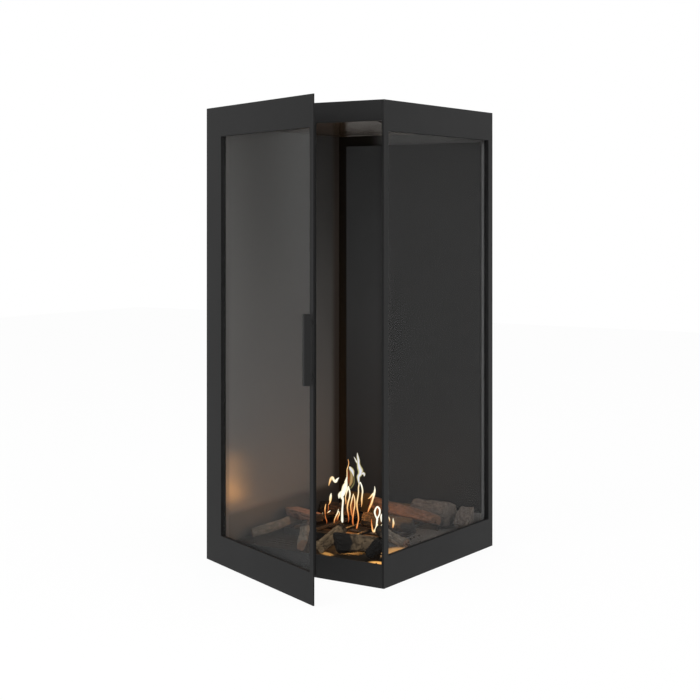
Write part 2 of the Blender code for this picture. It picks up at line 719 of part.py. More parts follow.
def build_grate():
    supports = []
    half = GRATE_WIDTH / 2
    rail_top = on_floor + GRATE_RAIL_HEIGHT
    back_rail_y = GRATE_BACK_Y - GRATE_RAIL_THICKNESS
    for name, y in (("grate_rail_front", GRATE_FRONT_Y), ("grate_rail_back", back_rail_y)):
        rail = box_shape((BURNER_X - half, y, on_floor),
                         (BURNER_X + half, y + GRATE_RAIL_THICKNESS, rail_top))
        supports.append(add_piece(name, rail, "grate_iron"))
    bar_bottom = rail_top + FIT_GAP
    row = (GRATE_BAR_COUNT - 1) * GRATE_BAR_PITCH
    for index in range(GRATE_BAR_COUNT):
        x = BURNER_X + index * GRATE_BAR_PITCH - row / 2
        bar = box_shape((x - GRATE_BAR_SIZE / 2, GRATE_FRONT_Y, bar_bottom),
                        (x + GRATE_BAR_SIZE / 2, GRATE_BACK_Y, bar_bottom + GRATE_BAR_SIZE))
        supports.append(add_piece("grate_bar_" + str(index + 1), bar, "grate_iron"))
    return supports


def log_shape(start, end, radius, taper, bend, split_turns, seed):
    """A rough log between two points: rippled rings, flat split sides, blunt slanted ends."""
    chance = random.Random(seed)
    run = end - start
    along = run.normalized()
    side = along.cross(Vector((0.0, 0.0, 1.0)))
    if side.length < log_upright_share:
        side = Vector((1.0, 0.0, 0.0))
    side.normalize()
    lift = side.cross(along).normalized()
    phases = [chance.uniform(0.0, math.tau) for _ in range(6)]
    ring_run = run.length / (LOG_RINGS - 1)
    shape = bmesh.new()
    loops = []
    for ring in range(LOG_RINGS):
        share = ring / (LOG_RINGS - 1)
        middle = start + run * share + side * (bend * math.sin(math.pi * share))
        is_end = ring in (0, LOG_RINGS - 1)
        ring_radius = radius * (1 + (taper - 1) * share) * (log_end_taper_share if is_end else 1.0)
        slant = min(ring_radius * log_end_slant_share, ring_run * log_slant_ring_share) if is_end else 0.0
        lean = phases[4] if ring == 0 else phases[5]
        loop = []
        for step in range(LOG_SIDES):
            angle = math.tau * step / LOG_SIDES
            ripple = math.sin(2 * angle + phases[0] + share) + math.sin(3 * angle + phases[1] - 2 * share)
            knots = math.sin(math.tau * share * log_knot_turns + phases[2] + math.sin(angle + phases[3]))
            reach = 1 + log_ripple_share * (ripple + knots) / 2
            reach += chance.uniform(-log_roughness_share, log_roughness_share)
            reach *= ring_radius
            limit = ring_radius * log_split_depth_share
            for split_turn in split_turns:
                facing = math.cos(angle - math.tau * split_turn)
                if reach * facing > limit:
                    reach = limit / facing
            spoke = side * math.cos(angle) + lift * math.sin(angle)
            place = middle + spoke * reach + along * (slant * math.cos(angle - lean))
            loop.append(shape.verts.new(place))
        loops.append(loop)
    for one, two in zip(loops, loops[1:]):
        for step in range(LOG_SIDES):
            after = (step + 1) % LOG_SIDES
            shape.faces.new((one[step], one[after], two[after], two[step]))
    shape.faces.new(loops[0])
    shape.faces.new(loops[-1])
    bmesh.ops.recalc_face_normals(shape, faces=shape.faces)
    bmesh.ops.triangulate(shape, faces=shape.faces)
    return shape


def points_and_polygons(piece):
    points = [vertex.co.copy() for vertex in piece.data.vertices]
    polygons = [tuple(polygon.vertices) for polygon in piece.data.polygons]
    return points, polygons


def drop_height(shape, supports):
    """How far a lifted shape can fall before it meets what lies under it."""
    shape.verts.index_update()
    points = [vertex.co.copy() for vertex in shape.verts]
    polygons = [tuple(vertex.index for vertex in face.verts) for face in shape.faces]
    shape_tree = BVHTree.FromPolygons(points, polygons)
    up = Vector((0.0, 0.0, 1.0))
    low = Vector([min(point[axis] for point in points) for axis in range(3)])
    high = Vector([max(point[axis] for point in points) for axis in range(3)])
    samples = [(point.x, point.y) for point in points]
    for column in range(LOG_DROP_STEPS + 1):
        for row in range(LOG_DROP_STEPS + 1):
            samples.append((low.x + (high.x - low.x) * column / LOG_DROP_STEPS,
                            low.y + (high.y - low.y) * row / LOG_DROP_STEPS))
    trees = []
    for support in supports:
        support_points, support_polygons = points_and_polygons(support)
        samples.extend((point.x, point.y) for point in support_points
                       if low.x <= point.x <= high.x and low.y <= point.y <= high.y)
        trees.append(BVHTree.FromPolygons(support_points, support_polygons))
    fall = high.z
    for x, y in samples:
        under = shape_tree.ray_cast(Vector((x, y, 0.0)), up)[0]
        if under is None:
            continue
        for tree in trees:
            top = tree.ray_cast(Vector((x, y, under.z)), -up)[0]
            if top is not None:
                fall = min(fall, under.z - top.z)
    return fall


def build_logs(supports):
    chamber_right = side_glass_inner()
    middle_x = (chamber_left + chamber_right) / 2
    middle_y = (door_back + DOOR_COLLAR_DEPTH + GASKET_THICKNESS + GLASS_THICKNESS + panel_front) / 2
    width = chamber_right - chamber_left
    depth = 2 * (panel_front - middle_y)
    lifted = FLOOR_HEIGHT + UNIT_HEIGHT / 2
    kinds = {"log_front_split": "log_split_wood", "log_front_right": "log_split_wood",
             "log_charred_stub": "log_charcoal", "log_centre_charred": "log_charcoal",
             "log_birch": "log_birch_bark"}
    for seed, (name, shares) in enumerate(log_layout_shares.items(), start=1):
        start = Vector((middle_x + shares["start"][0] * width, middle_y + shares["start"][1] * depth, lifted))
        end = Vector((middle_x + shares["end"][0] * width, middle_y + shares["end"][1] * depth,
                      lifted + shares["rise"] * LOG_RADIUS))
        shape = log_shape(start, end, shares["girth"] * LOG_RADIUS, shares["taper"],
                          shares["bend"] * LOG_RADIUS, shares["splits"], seed)
        fall = drop_height(shape, supports) - LOG_REST_GAP
        bmesh.ops.translate(shape, verts=shape.verts, vec=Vector((0.0, 0.0, -fall)))
        log = add_piece(name, shape, kinds.get(name, "log_bark"), smooth_under=LOG_ANGLE)
        supports.append(log)


def hinge_levels():
    lower = HINGE_END_OFFSET
    upper = UNIT_HEIGHT - HINGE_END_OFFSET - 2 * KNUCKLE_HEIGHT
    return (("lower", lower), ("upper", upper))


def build_hinges(door_axis):
    centre = (hinge_x, hinge_y)
    half_web = HINGE_WEB / 2
    plate_back = front + CHANNEL_DEPTH - FIT_GAP
    plate_front = plate_back - HINGE_LEAF_THICKNESS
    web_angle = math.acos(half_web / KNUCKLE_RADIUS)
    bracket = arc_points(centre, KNUCKLE_RADIUS, math.pi - web_angle, math.tau + web_angle, KNUCKLE_SEGMENTS)
    bracket += [
        (hinge_x + half_web, plate_front),
        (hinge_x + HINGE_LEAF_LENGTH, plate_front),
        (hinge_x + HINGE_LEAF_LENGTH, plate_back),
        (hinge_x - half_web, plate_back),
    ]
    leaf_outer = hinge_y - KNUCKLE_RADIUS
    leaf_inner = leaf_outer + HINGE_LEAF_THICKNESS
    leaf_angle = math.asin((HINGE_LEAF_THICKNESS - KNUCKLE_RADIUS) / KNUCKLE_RADIUS)
    leaf = arc_points(centre, KNUCKLE_RADIUS, leaf_angle, math.pi * 3 / 2, KNUCKLE_SEGMENTS)
    leaf += [(hinge_x + HINGE_LEAF_LENGTH, leaf_outer), (hinge_x + HINGE_LEAF_LENGTH, leaf_inner)]
    bore = PIN_RADIUS + PIN_CLEARANCE
    for name, base in hinge_levels():
        bracket_top = base + KNUCKLE_HEIGHT
        leaf_base = bracket_top + FIT_GAP
        leaf_top = leaf_base + KNUCKLE_HEIGHT
        fixed = add_piece("hinge_bracket_" + name, prism_shape("Z", bracket, base, bracket_top),
                          "black_paint", smooth_under=ROUND_ANGLE)
        cut_with(fixed, "bracket_bore_" + name, [turned_shape(centre, "Z", [
            (bore, base - CUT_OVERRUN),
            (bore, bracket_top + CUT_OVERRUN),
        ], segments=KNUCKLE_SEGMENTS)])
        moving = add_piece("door_hinge_leaf_" + name, prism_shape("Z", leaf, leaf_base, leaf_top),
                           "black_paint", door_axis, smooth_under=ROUND_ANGLE)
        leaf_centre = (centre[0] - door_axis.location.x, centre[1] - door_axis.location.y)
        cut_with(moving, "leaf_bore_" + name, [turned_shape(leaf_centre, "Z", [
            (bore, leaf_base - CUT_OVERRUN),
            (bore, leaf_top + CUT_OVERRUN),
        ], segments=KNUCKLE_SEGMENTS)])
        head = leaf_top + FIT_GAP
        pin = turned_shape(centre, "Z", [
            (PIN_RADIUS, base),
            (PIN_RADIUS, head),
            (PIN_HEAD_RADIUS, head),
            (PIN_HEAD_RADIUS, head + PIN_HEAD_HEIGHT),
        ], segments=KNUCKLE_SEGMENTS)
        add_piece("hinge_pin_" + name, pin, "bright_pin", smooth_under=ROUND_ANGLE)


def build_door(door_axis):
    outer = (left, DOOR_FLOOR_CLEARANCE, right, UNIT_HEIGHT)
    window = (left + DOOR_STILE_HINGE, DOOR_RAIL, right - DOOR_STILE_FREE, UNIT_HEIGHT - DOOR_RAIL)
    collar = grown(window, COLLAR_WALL)
    collar_back = door_back + DOOR_COLLAR_DEPTH
    soften(add_piece("door_frame", ring_shape("Y", [
        (outer, door_front),
        (window, door_front),
        (window, collar_back),
        (collar, collar_back),
        (collar, door_back),
        (outer, door_back),
    ], capped=False), "black_paint", door_axis))

    gasket_front = collar_back + FIT_GAP
    gasket_back = gasket_front + GASKET_THICKNESS
    gasket_edge = grown(window, FIT_GAP)
    gasket_rim = grown(window, GASKET_WIDTH)
    add_piece("door_gasket", ring_shape("Y", [
        (gasket_rim, gasket_front),
        (gasket_edge, gasket_front),
        (gasket_edge, gasket_back),
        (gasket_rim, gasket_back),
    ], capped=False), "graphite_seal", door_axis)

    glass_front = gasket_back + FIT_GAP
    glass_back = glass_front + GLASS_THICKNESS
    glass_rect = grown(window, GLASS_LAP_UPRIGHT)
    glass = ring_shape("Y", [(glass_rect, glass_front), (glass_rect, glass_back)], capped=True)
    soften(add_piece("door_glass", glass, "smoked_glass", door_axis))

    # Z-shaped strips clamp the glass along its top and bottom edges
    foot = door_back + FIT_GAP
    lip = glass_back + FIT_GAP
    for name, edge, hand in (("door_clip_top", glass_rect[3], 1), ("door_clip_bottom", glass_rect[1], -1)):
        riser = edge + hand * FIT_GAP
        outline = [
            (foot, riser + hand * (RETAINER_SHEET + DOOR_CLIP_FOOT)),
            (foot, riser),
            (lip, riser),
            (lip, edge - hand * DOOR_CLIP_INSET),
            (lip + RETAINER_SHEET, edge - hand * DOOR_CLIP_INSET),
            (lip + RETAINER_SHEET, riser + hand * RETAINER_SHEET),
            (foot + RETAINER_SHEET, riser + hand * RETAINER_SHEET),
            (foot + RETAINER_SHEET, riser + hand * (RETAINER_SHEET + DOOR_CLIP_FOOT)),
        ]
        strip = prism_shape("X", outline, window[0] - DOOR_CLIP_INSET, window[2] + DOOR_CLIP_INSET)
        add_piece(name, strip, "black_paint", door_axis)

    # The handle is a flat bar on two feet, standing at the free edge
    bar_back = door_front - HANDLE_STANDOFF
    bar_front = bar_back - HANDLE_DEPTH
    foot_end = door_front - FIT_GAP
    base = HANDLE_BASE_HEIGHT
    top = base + HANDLE_LENGTH
    first = base + HANDLE_FOOT_INSET
    last = top - HANDLE_FOOT_INSET
    outline = [
        (bar_front, base),
        (bar_front, top),
        (bar_back, top),
        (bar_back, last),
        (foot_end, last),
        (foot_end, last - HANDLE_FOOT),
        (bar_back, last - HANDLE_FOOT),
        (bar_back, first + HANDLE_FOOT),
        (foot_end, first + HANDLE_FOOT),
        (foot_end, first),
        (bar_back, first),
        (bar_back, base),
    ]
    handle_right = right - HANDLE_EDGE_INSET
    handle = prism_shape("X", outline, handle_right - HANDLE_WIDTH, handle_right)
    soften(add_piece("door_handle", handle, "black_paint", door_axis))


remove_everything()
build_casing()
build_post()
floor_plate = build_chamber()
build_back_panel()
build_side()
build_burner()
grate = build_grate()
build_logs([floor_plate] + grate)
hinge_axis = add_empty("door_hinge_axis", (hinge_x, hinge_y, 0.0), -DOOR_OPEN_ANGLE)
build_hinges(hinge_axis)
build_door(hinge_axis)
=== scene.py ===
import json
import math
import random

import bmesh
import bpy
from mathutils import Matrix, Vector, noise


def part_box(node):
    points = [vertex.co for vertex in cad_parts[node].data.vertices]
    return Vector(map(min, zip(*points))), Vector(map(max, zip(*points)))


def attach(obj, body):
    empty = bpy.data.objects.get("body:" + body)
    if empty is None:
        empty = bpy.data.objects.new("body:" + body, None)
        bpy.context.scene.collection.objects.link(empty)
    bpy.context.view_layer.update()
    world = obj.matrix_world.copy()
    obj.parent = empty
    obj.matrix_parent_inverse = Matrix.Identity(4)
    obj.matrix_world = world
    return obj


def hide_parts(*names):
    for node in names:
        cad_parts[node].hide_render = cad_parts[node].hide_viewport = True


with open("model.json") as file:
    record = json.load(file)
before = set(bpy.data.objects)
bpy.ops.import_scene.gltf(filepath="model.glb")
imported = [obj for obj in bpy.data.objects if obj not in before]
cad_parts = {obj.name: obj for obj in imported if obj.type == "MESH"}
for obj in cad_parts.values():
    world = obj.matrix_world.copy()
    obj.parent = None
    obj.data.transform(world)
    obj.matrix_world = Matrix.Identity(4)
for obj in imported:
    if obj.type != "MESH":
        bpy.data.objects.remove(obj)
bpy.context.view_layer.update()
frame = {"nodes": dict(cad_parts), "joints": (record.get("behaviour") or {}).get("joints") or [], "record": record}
nodes = frame["nodes"]
print("stage: frame loaded,", len(nodes), "nodes")


# a socket that can be used in sums: every operator adds one Math node
class Wire:
    def __init__(self, board, socket):
        self.board = board
        self.socket = socket

    def combine(self, operation, *others):
        return self.board.add("ShaderNodeMath", {"operation": operation}, [self, *others]).out()

    def __add__(self, other):
        return self.combine("ADD", other)

    def __sub__(self, other):
        return self.combine("SUBTRACT", other)

    def __mul__(self, other):
        return self.combine("MULTIPLY", other)

    def __truediv__(self, other):
        return self.combine("DIVIDE", other)

    def __pow__(self, other):
        return self.combine("POWER", other)

    def __rsub__(self, other):
        return self.board.add("ShaderNodeMath", {"operation": "SUBTRACT"}, [other, self]).out()

    __radd__ = __add__
    __rmul__ = __mul__

    def ramp(self, low, high):
        # 0 at low and 1 at high, smooth between
        values = {"Value": self, "From Min": low, "From Max": high}
        return self.board.add("ShaderNodeMapRange", {"interpolation_type": "SMOOTHSTEP"}, values).out()


class Part:
    # a node just added, with its outputs by name
    def __init__(self, board, node):
        self.board = board
        self.node = node

    def out(self, name=None):
        if name is None:
            live = [socket for socket in self.node.outputs if socket.enabled]
            return Wire(self.board, live[0])
        return Wire(self.board, self.node.outputs[name])


# a material's node tree, built node by node
class Board:
    def __init__(self, name):
        self.material = bpy.data.materials.new(name)
        self.material.use_nodes = True
        self.tree = self.material.node_tree
        self.shader = self.tree.nodes["Principled BSDF"]
        self.output = self.tree.nodes["Material Output"]
        self.surface = Wire(self, self.shader.outputs[0])

    def add(self, kind, settings=None, values=None):
        node = self.tree.nodes.new(kind)
        for key, value in (settings or {}).items():
            if key == "stops":
                ramp = node.color_ramp
                while len(ramp.elements) < len(value):
                    ramp.elements.new(0.5)
                for element, (place, colour) in zip(ramp.elements, value):
                    element.position = place
                    element.color = (*colour, 1.0)
            else:
                setattr(node, key, value)
        pairs = values.items() if isinstance(values, dict) else enumerate(values or [])
        for key, value in pairs:
            self.plug(node.inputs[key], value)
        return Part(self, node)

    def plug(self, socket, value):
        if isinstance(value, Wire):
            self.tree.links.new(value.socket, socket)
        elif isinstance(value, tuple) and len(value) == 3 and socket.type == "RGBA":
            socket.default_value = (*value, 1.0)
        else:
            socket.default_value = value

    def set(self, **values):
        # colour="Base Color" and so on, on the main shader
        names = {"colour": "Base Color", "rough": "Roughness", "metal": "Metallic", "coat": "Coat Weight",
                 "coatRough": "Coat Roughness", "alpha": "Alpha", "glow": "Emission Color",
                 "glowStrength": "Emission Strength", "normal": "Normal",
                 "specular": "Specular IOR Level"}
        for key, value in values.items():
            self.plug(self.shader.inputs[names[key]], value)
        return self.material

    def place(self):
        return self.add("ShaderNodeTexCoord").out("Object")

    def axes(self, vector):
        parts = self.add("ShaderNodeSeparateXYZ", {}, [vector])
        return parts.out("X"), parts.out("Y"), parts.out("Z")

    def stretch(self, vector, scale):
        return self.add("ShaderNodeMapping", {}, {"Vector": vector, "Scale": scale}).out()

    def noise(self, vector, scale, detail, rough):
        values = {"Vector": vector, "Scale": scale, "Detail": detail, "Roughness": rough}
        return self.add("ShaderNodeTexNoise", {}, values).out("Fac")

    def cells(self, vector, scale):
        return self.add("ShaderNodeTexVoronoi", {}, {"Vector": vector, "Scale": scale}).out("Distance")

    def mix(self, factor, one, two):
        part = self.add("ShaderNodeMix", {"data_type": "RGBA"})
        for index, value in ((0, factor), (6, one), (7, two)):
            self.plug(part.node.inputs[index], value)
        return Wire(self, part.node.outputs[2])

    def colours(self, factor, stops):
        return self.add("ShaderNodeValToRGB", {"stops": stops}, {"Fac": factor}).out("Color")

    def attribute(self, name, output="Fac"):
        return self.add("ShaderNodeAttribute", {"attribute_name": name}).out(output)

    def bump(self, height, distance, strength):
        values = {"Height": height, "Distance": distance, "Strength": strength}
        return self.add("ShaderNodeBump", {}, values).out()

    def cover(self, factor, one, two):
        # the finished material is a mix of two surfaces
        both = self.add("ShaderNodeMixShader", {}, {0: factor, 1: one, 2: two})
        self.tree.links.new(both.out().socket, self.output.inputs["Surface"])
        return self.material


def newBoard(name):
    board = Board(name)
    return board, board.place()


# powder coat, used on the frames, sheets and small brackets
paint = {"tone": (0.0095, 0.0095, 0.0096), "worn": (0.0125, 0.0125, 0.0125), "rough": 0.46, "specular": 0.12,
         "grain": 700.0, "grainDepth": 0.00003, "relief": 0.7,
         "handleTone": (0.0095, 0.0095, 0.0095), "handleSpecular": 0.13,
         # the sill's tone is a lighter copy of the paint: painted light where the sill sits in shade by the floor
         "sillLitTone": (0.0170, 0.0170, 0.0170), "sillSpecular": 0.14, "sillRelief": 0.1,
         # the door's tone is a darker copy of the paint: painted shade on the open door
         "doorShadedTone": (0.0085, 0.0085, 0.0086), "doorSpecular": 0.095}


def paintMaterial(name, tone, worn, specular, relief=paint["relief"]):
    board, spot = newBoard(name)
    cloud = board.noise(spot, 7.0, 5.0, 0.6)
    grain = board.noise(spot, paint["grain"], 2.0, 0.5)
    speck = board.cells(spot, paint["grain"] * 0.55)
    rub = board.noise(board.stretch(spot, (3.0, 3.0, 26.0)), 4.0, 6.0, 0.65)
    colour = board.mix(cloud.ramp(0.35, 0.75) * 0.45 + rub.ramp(0.62, 0.9) * 0.35, tone, worn)
    rough = paint["rough"] + (cloud - 0.5) * 0.16 + (grain - 0.5) * 0.10
    return board.set(colour=colour, rough=rough, specular=specular,
                     normal=board.bump(grain * 0.6 + speck * 0.4, paint["grainDepth"], relief))


# smooth enamel on the chamber's walls; each pair of places is where a change of tone starts and ends
enamel = {
    "wall": {"tone": (0.134, 0.128, 0.121), "sootAndShade": (0.034, 0.033, 0.031), "rough": 0.29, "specular": 1.0,
             "shade": (0.024, 0.019, 0.014), "brown": (0.022, 0.013, 0.006), "foot": (0.104, 0.128),
             "corner": (0.185, 0.213), "front": (-0.22, -0.04), "frontTop": (0.40, 0.70), "frontShare": 0.22},
    "back": {"tone": (0.022, 0.013, 0.006), "sootAndShade": (0.002, 0.0015, 0.001), "rough": 0.30, "specular": 0.20,
             "foldLitTone": (0.20, 0.20, 0.20), "fold": (0.228, 0.2335),
             "bareTone": (0.085, 0.084, 0.081), "bareTop": (1.000, 1.006), "bareSide": (-0.10, -0.04)},
    "sootAndShadeSpan": (0.20, 0.92), "sootAndShadeShare": 0.80, "peel": 60.0, "peelDepth": 0.00002,
}


def enamelMaterial(name, look):
    board, spot = newBoard(name)
    cloud = board.noise(spot, 4.0, 3.0, 0.5)
    peel = board.noise(spot, enamel["peel"], 2.0, 0.5)
    x, y, height = board.axes(spot)
    # darker towards the top: soot, and painted shade where the fire's light falls off with height
    aged = height.ramp(*enamel["sootAndShadeSpan"]) * enamel["sootAndShadeShare"] + (cloud - 0.5) * 0.2
    colour = board.mix(aged, look["tone"], look["sootAndShade"])
    rough = look["rough"] + (cloud - 0.5) * 0.05
    if look is enamel["back"]:
        # painted light: the narrow fold at the liner's right-hand end is pale, where it lies in shade behind the
        # side glass
        colour = board.mix(x.ramp(*look["fold"]), colour, look["foldLitTone"])
        bare = height.ramp(*look["bareTop"]) * x.ramp(*look["bareSide"])
        colour = board.mix(bare, colour, look["bareTone"])
    else:
        # painted shade along the wall's foot, where the logs shade it; the foot and the corner band are also
        # rougher
        unshaded = (height + (cloud - 0.5) * 0.016).ramp(*look["foot"])
        # darker towards the front and low down
        front = (1.0 - y.ramp(*look["front"])) * (1.0 - height.ramp(*look["frontTop"]))
        colour = board.mix(front * look["frontShare"], colour, look["sootAndShade"])
        # painted shade: a brown band darkens the wall's last few centimetres before the back corner
        cornerShade = (y + (cloud - 0.5) * 0.006).ramp(*look["corner"])
        colour = board.mix(cornerShade, board.mix(unshaded, look["shade"], colour), look["brown"])
        rough = rough + (1.0 - unshaded * (1.0 - cornerShade)) * 0.35
    return board.set(colour=colour, rough=rough, specular=look["specular"],
                     normal=board.bump(peel, enamel["peelDepth"], 0.3))


# floor plate: dull enamel, dark at the front and under the fire, dusted with pale ash to the right, and glowing in
# pools of painted fire light
floorLook = {"dark": (0.020, 0.016, 0.012), "ash": (0.120, 0.115, 0.108), "rough": 0.42, "specular": 0.05,
             "ember": (0.95, 0.47, 0.125), "ashSide": (0.02, 0.20), "ashFront": (-0.20, -0.12)}
# pools of painted fire light on the plate, where live embers are also laid: centre, way it runs, half length, half
# width, level
firelightAndEmberPatches = [((0.064, -0.2065), (0.92, -0.39), 0.027, 0.0135, 0.50),
                ((0.210, -0.216), (1.0, 0.0), 0.026, 0.016, 1.15),
                ((0.184, -0.108), (-0.14, 0.99), 0.066, 0.034, 0.62)]


def floorMaterial():
    board, spot = newBoard("floorEnamelFinish")
    x, y, _ = board.axes(spot)
    cloud = board.noise(spot, 14.0, 5.0, 0.6)
    grit = board.noise(spot, 260.0, 3.0, 0.6)
    dusty = (x + y * 0.35 + (cloud - 0.5) * 0.10).ramp(*floorLook["ashSide"])
    near = (y + (cloud - 0.5) * 0.03).ramp(*floorLook["ashFront"])
    colour = board.mix(dusty * near * (0.75 + grit * 0.5), floorLook["dark"], floorLook["ash"])
    # painted light: orange glow in pools on the plate stands in for the fire's light falling through the logs
    lit = 0.0
    for (cx, cy), (wx, wy), half, wide, level in firelightAndEmberPatches:
        along = (x - cx) * (wx / half) + (y - cy) * (wy / half)
        across = (y - cy) * (wx / wide) - (x - cx) * (wy / wide)
        away = along * along + across * across + (cloud - 0.5) * 0.9
        lit = (1.0 - away.ramp(0.05, 1.15)) * level + lit
    glow = board.mix(lit * (0.8 + grit * 0.4), (0.0, 0.0, 0.0), floorLook["ember"])
    rough = floorLook["rough"] + dusty * 0.25 + (cloud - 0.5) * 0.08
    return board.set(colour=colour, rough=rough, specular=floorLook["specular"], glow=glow, glowStrength=1.0,
                     normal=board.bump(cloud, 0.00002, 0.15))


# folded post: paint outside, and the wall's satin on the return inside the chamber
post = {"tone": (0.0095, 0.0095, 0.0096), "insideTone": (0.085, 0.080, 0.076), "rough": 0.46,
        "coatRough": 0.30, "behind": (-0.2522, -0.2518), "right": (-0.1960, -0.1952)}


def postMaterial():
    board, spot = newBoard("postFinish")
    x, y, _ = board.axes(spot)
    cloud = board.noise(spot, 7.0, 4.0, 0.6)
    inside = y.ramp(*post["behind"]) * x.ramp(*post["right"])
    colour = board.mix(inside, post["tone"], post["insideTone"])
    return board.set(colour=colour, rough=post["rough"] + (cloud - 0.5) * 0.12, specular=paint["specular"],
                     coat=inside, coatRough=post["coatRough"], normal=board.bump(cloud, 0.00002, 0.3))


# ceiling plate: painted light and shade, pale over the right-hand part and brown shade to the left of a slanted
# border
ceiling = {"bare": (0.30, 0.28, 0.26), "bareShadedFar": (0.165, 0.145, 0.127), "far": (-0.22, 0.20),
           "brown": (0.066, 0.037, 0.018), "brownPale": (0.060, 0.046, 0.032), "border": (-0.166, 0.218),
           "across": (0.830, 0.5575), "soft": 0.008, "rough": 0.16, "specular": 0.6}


def ceilingMaterial():
    board, spot = newBoard("ceilingEnamelFinish")
    x, y, _ = board.axes(spot)
    cloud = board.noise(spot, 6.0, 4.0, 0.5)
    streak = board.noise(board.stretch(spot, (1.5, 24.0, 1.0)), 3.0, 4.0, 0.6)
    (startX, startY), (wayX, wayY) = ceiling["border"], ceiling["across"]
    distance = (x - startX) * wayX + (y - startY) * wayY
    # painted light and shade: pale to the right of the slanted border, brown shade to the left
    unshaded = (distance + (cloud - 0.5) * 0.01).ramp(-ceiling["soft"], ceiling["soft"])
    brown = board.mix(streak.ramp(0.4, 0.7) * 0.5, ceiling["brown"], ceiling["brownPale"])
    # painted shade: the pale part darkens further back
    far = y.ramp(*ceiling["far"]) * 0.6 + (streak - 0.5) * 0.2
    bare = board.mix(far, ceiling["bare"], ceiling["bareShadedFar"])
    return board.set(colour=board.mix(unshaded, brown, bare), rough=ceiling["rough"] + (cloud - 0.5) * 0.06,
                     specular=ceiling["specular"], normal=board.bump(streak, 0.00004, 0.3))


# flat dark glass-ceramic of the back panel: lifted by painted light over the left-hand part and bare black to the
# right, darker low down with soot and painted shade, ash along its foot
panel = {"tone": (0.051, 0.052, 0.053), "haze": (0.046, 0.047, 0.048), "sootAndShade": (0.027, 0.030, 0.033),
         "bare": (0.006, 0.006, 0.006), "rough": 0.5, "specular": 0.04, "sootAndShadeSpan": (0.05, 0.60),
         "paintedLightEnd": (-0.075, -0.015), "ash": (0.18, 0.17, 0.16), "ashBrown": (0.13, 0.075, 0.03),
         "ashTurn": (0.05, 0.18), "ashTop": (0.083, 0.087), "ashStart": (-0.085, -0.060), "ashStep": 0.014}


def panelMaterial():
    board, spot = newBoard("darkPanelFinish")
    haze = board.noise(spot, 5.0, 3.0, 0.5)
    fine = board.noise(spot, 80.0, 2.0, 0.5)
    x, _, height = board.axes(spot)
    colour = board.mix(haze.ramp(0.3, 0.8) * 0.5, panel["tone"], panel["haze"])
    # darker low down: soot, and painted shade that evens out the fire's light there
    colour = board.mix((1.0 - height.ramp(*panel["sootAndShadeSpan"])) * 0.9, colour, panel["sootAndShade"])
    # painted light: the left-hand part keeps the lifted tone, and the right-hand part turns to the bare black tone
    colour = board.mix(x.ramp(*panel["paintedLightEnd"]), colour, panel["bare"])
    dust = height + (fine - 0.5) * 0.004 - (1.0 - x.ramp(*panel["ashStart"])) * panel["ashStep"]
    foot = board.mix(x.ramp(*panel["ashTurn"]), panel["ashBrown"], panel["ash"])
    colour = board.mix(dust.ramp(*panel["ashTop"]), foot, colour)
    return board.set(colour=colour, rough=panel["rough"] + (haze - 0.5) * 0.05, specular=panel["specular"],
                     normal=board.bump(haze, 0.00001, 0.1))


# heat-proof glass under a thin grey film: way is its run, border the black print at its two ends
glass = {"door": {"clear": (0.9997, 0.9975, 0.9942), "tint": (0.1136, 0.1136, 0.1123), "mirror": 0.15,
                  "film": 0.112, "haze": 0.05, "bloom": 1.15, "way": (0.9128, -0.4083),
                  "border": (0.0008, 0.006)},
         "side": {"clear": (0.999, 0.999, 0.999), "tint": (0.180, 0.180, 0.178), "mirror": 0.04,
                  "film": 0.079, "haze": 0.15, "bloom": 0.0, "way": (0.0, 1.0),
                  "border": (0.0012, 0.0012)},
         "specular": 0.05, "print": (0.008, 0.008, 0.008), "soft": 0.0006}


def glassMaterial(name, look, node):
    board, spot = newBoard(name)
    smear = board.noise(board.stretch(spot, (2.0, 2.0, 5.0)), 2.0, 3.0, 0.5)
    x, y, height = board.axes(spot)
    wayX, wayY = look["way"]
    along = x * wayX + y * wayY
    reach = [vertex.co.x * wayX + vertex.co.y * wayY for vertex in nodes[node].data.vertices]
    first, last, soft = min(reach), max(reach), glass["soft"]
    start, end = first + look["border"][0], last - look["border"][1]
    inner = along.ramp(start, start + soft) * (1.0 - along.ramp(end - soft, end))
    mirror = board.add("ShaderNodeLayerWeight", {}, {"Blend": 0.5}).out("Facing") ** 5.0 * look["mirror"]
    # the film is thicker low down, a painted reflection of the pale floor, and on the door also thicker towards
    # its top corner
    haze = 1.0 + (1.0 - (height + (smear - 0.5) * 0.03).ramp(0.06, 0.20)) * look["haze"]
    bloom = along.ramp(first + (last - first) * 0.35, last) * height.ramp(0.45, 0.95)
    film = (haze + bloom * look["bloom"]) * look["film"] * (0.9 + smear * 0.2)
    factor = 1.0 - (1.0 - mirror - film) * inner
    board.set(colour=board.mix(inner, glass["print"], look["tint"]), specular=glass["specular"],
              rough=0.02 + smear * 0.02 + (1.0 - inner) * 0.5, metal=mirror / (mirror + film) * inner)
    through = board.add("ShaderNodeBsdfTransparent", {}, {"Color": look["clear"]})
    return board.cover(factor, through.out(), board.surface)


# stain is a share of each tone's own red, green and blue
steel = {"tone": (0.42, 0.41, 0.39), "stain": (0.30, 0.20, 0.13), "stainLevel": 2.4, "rough": 0.30,
         "pinTone": (0.48, 0.47, 0.46), "pinRough": 0.26,
         "magnetTone": (0.12, 0.12, 0.125), "magnetRough": 0.34,
         "sootyTone": (0.070, 0.062, 0.054), "sootyRough": 0.50}


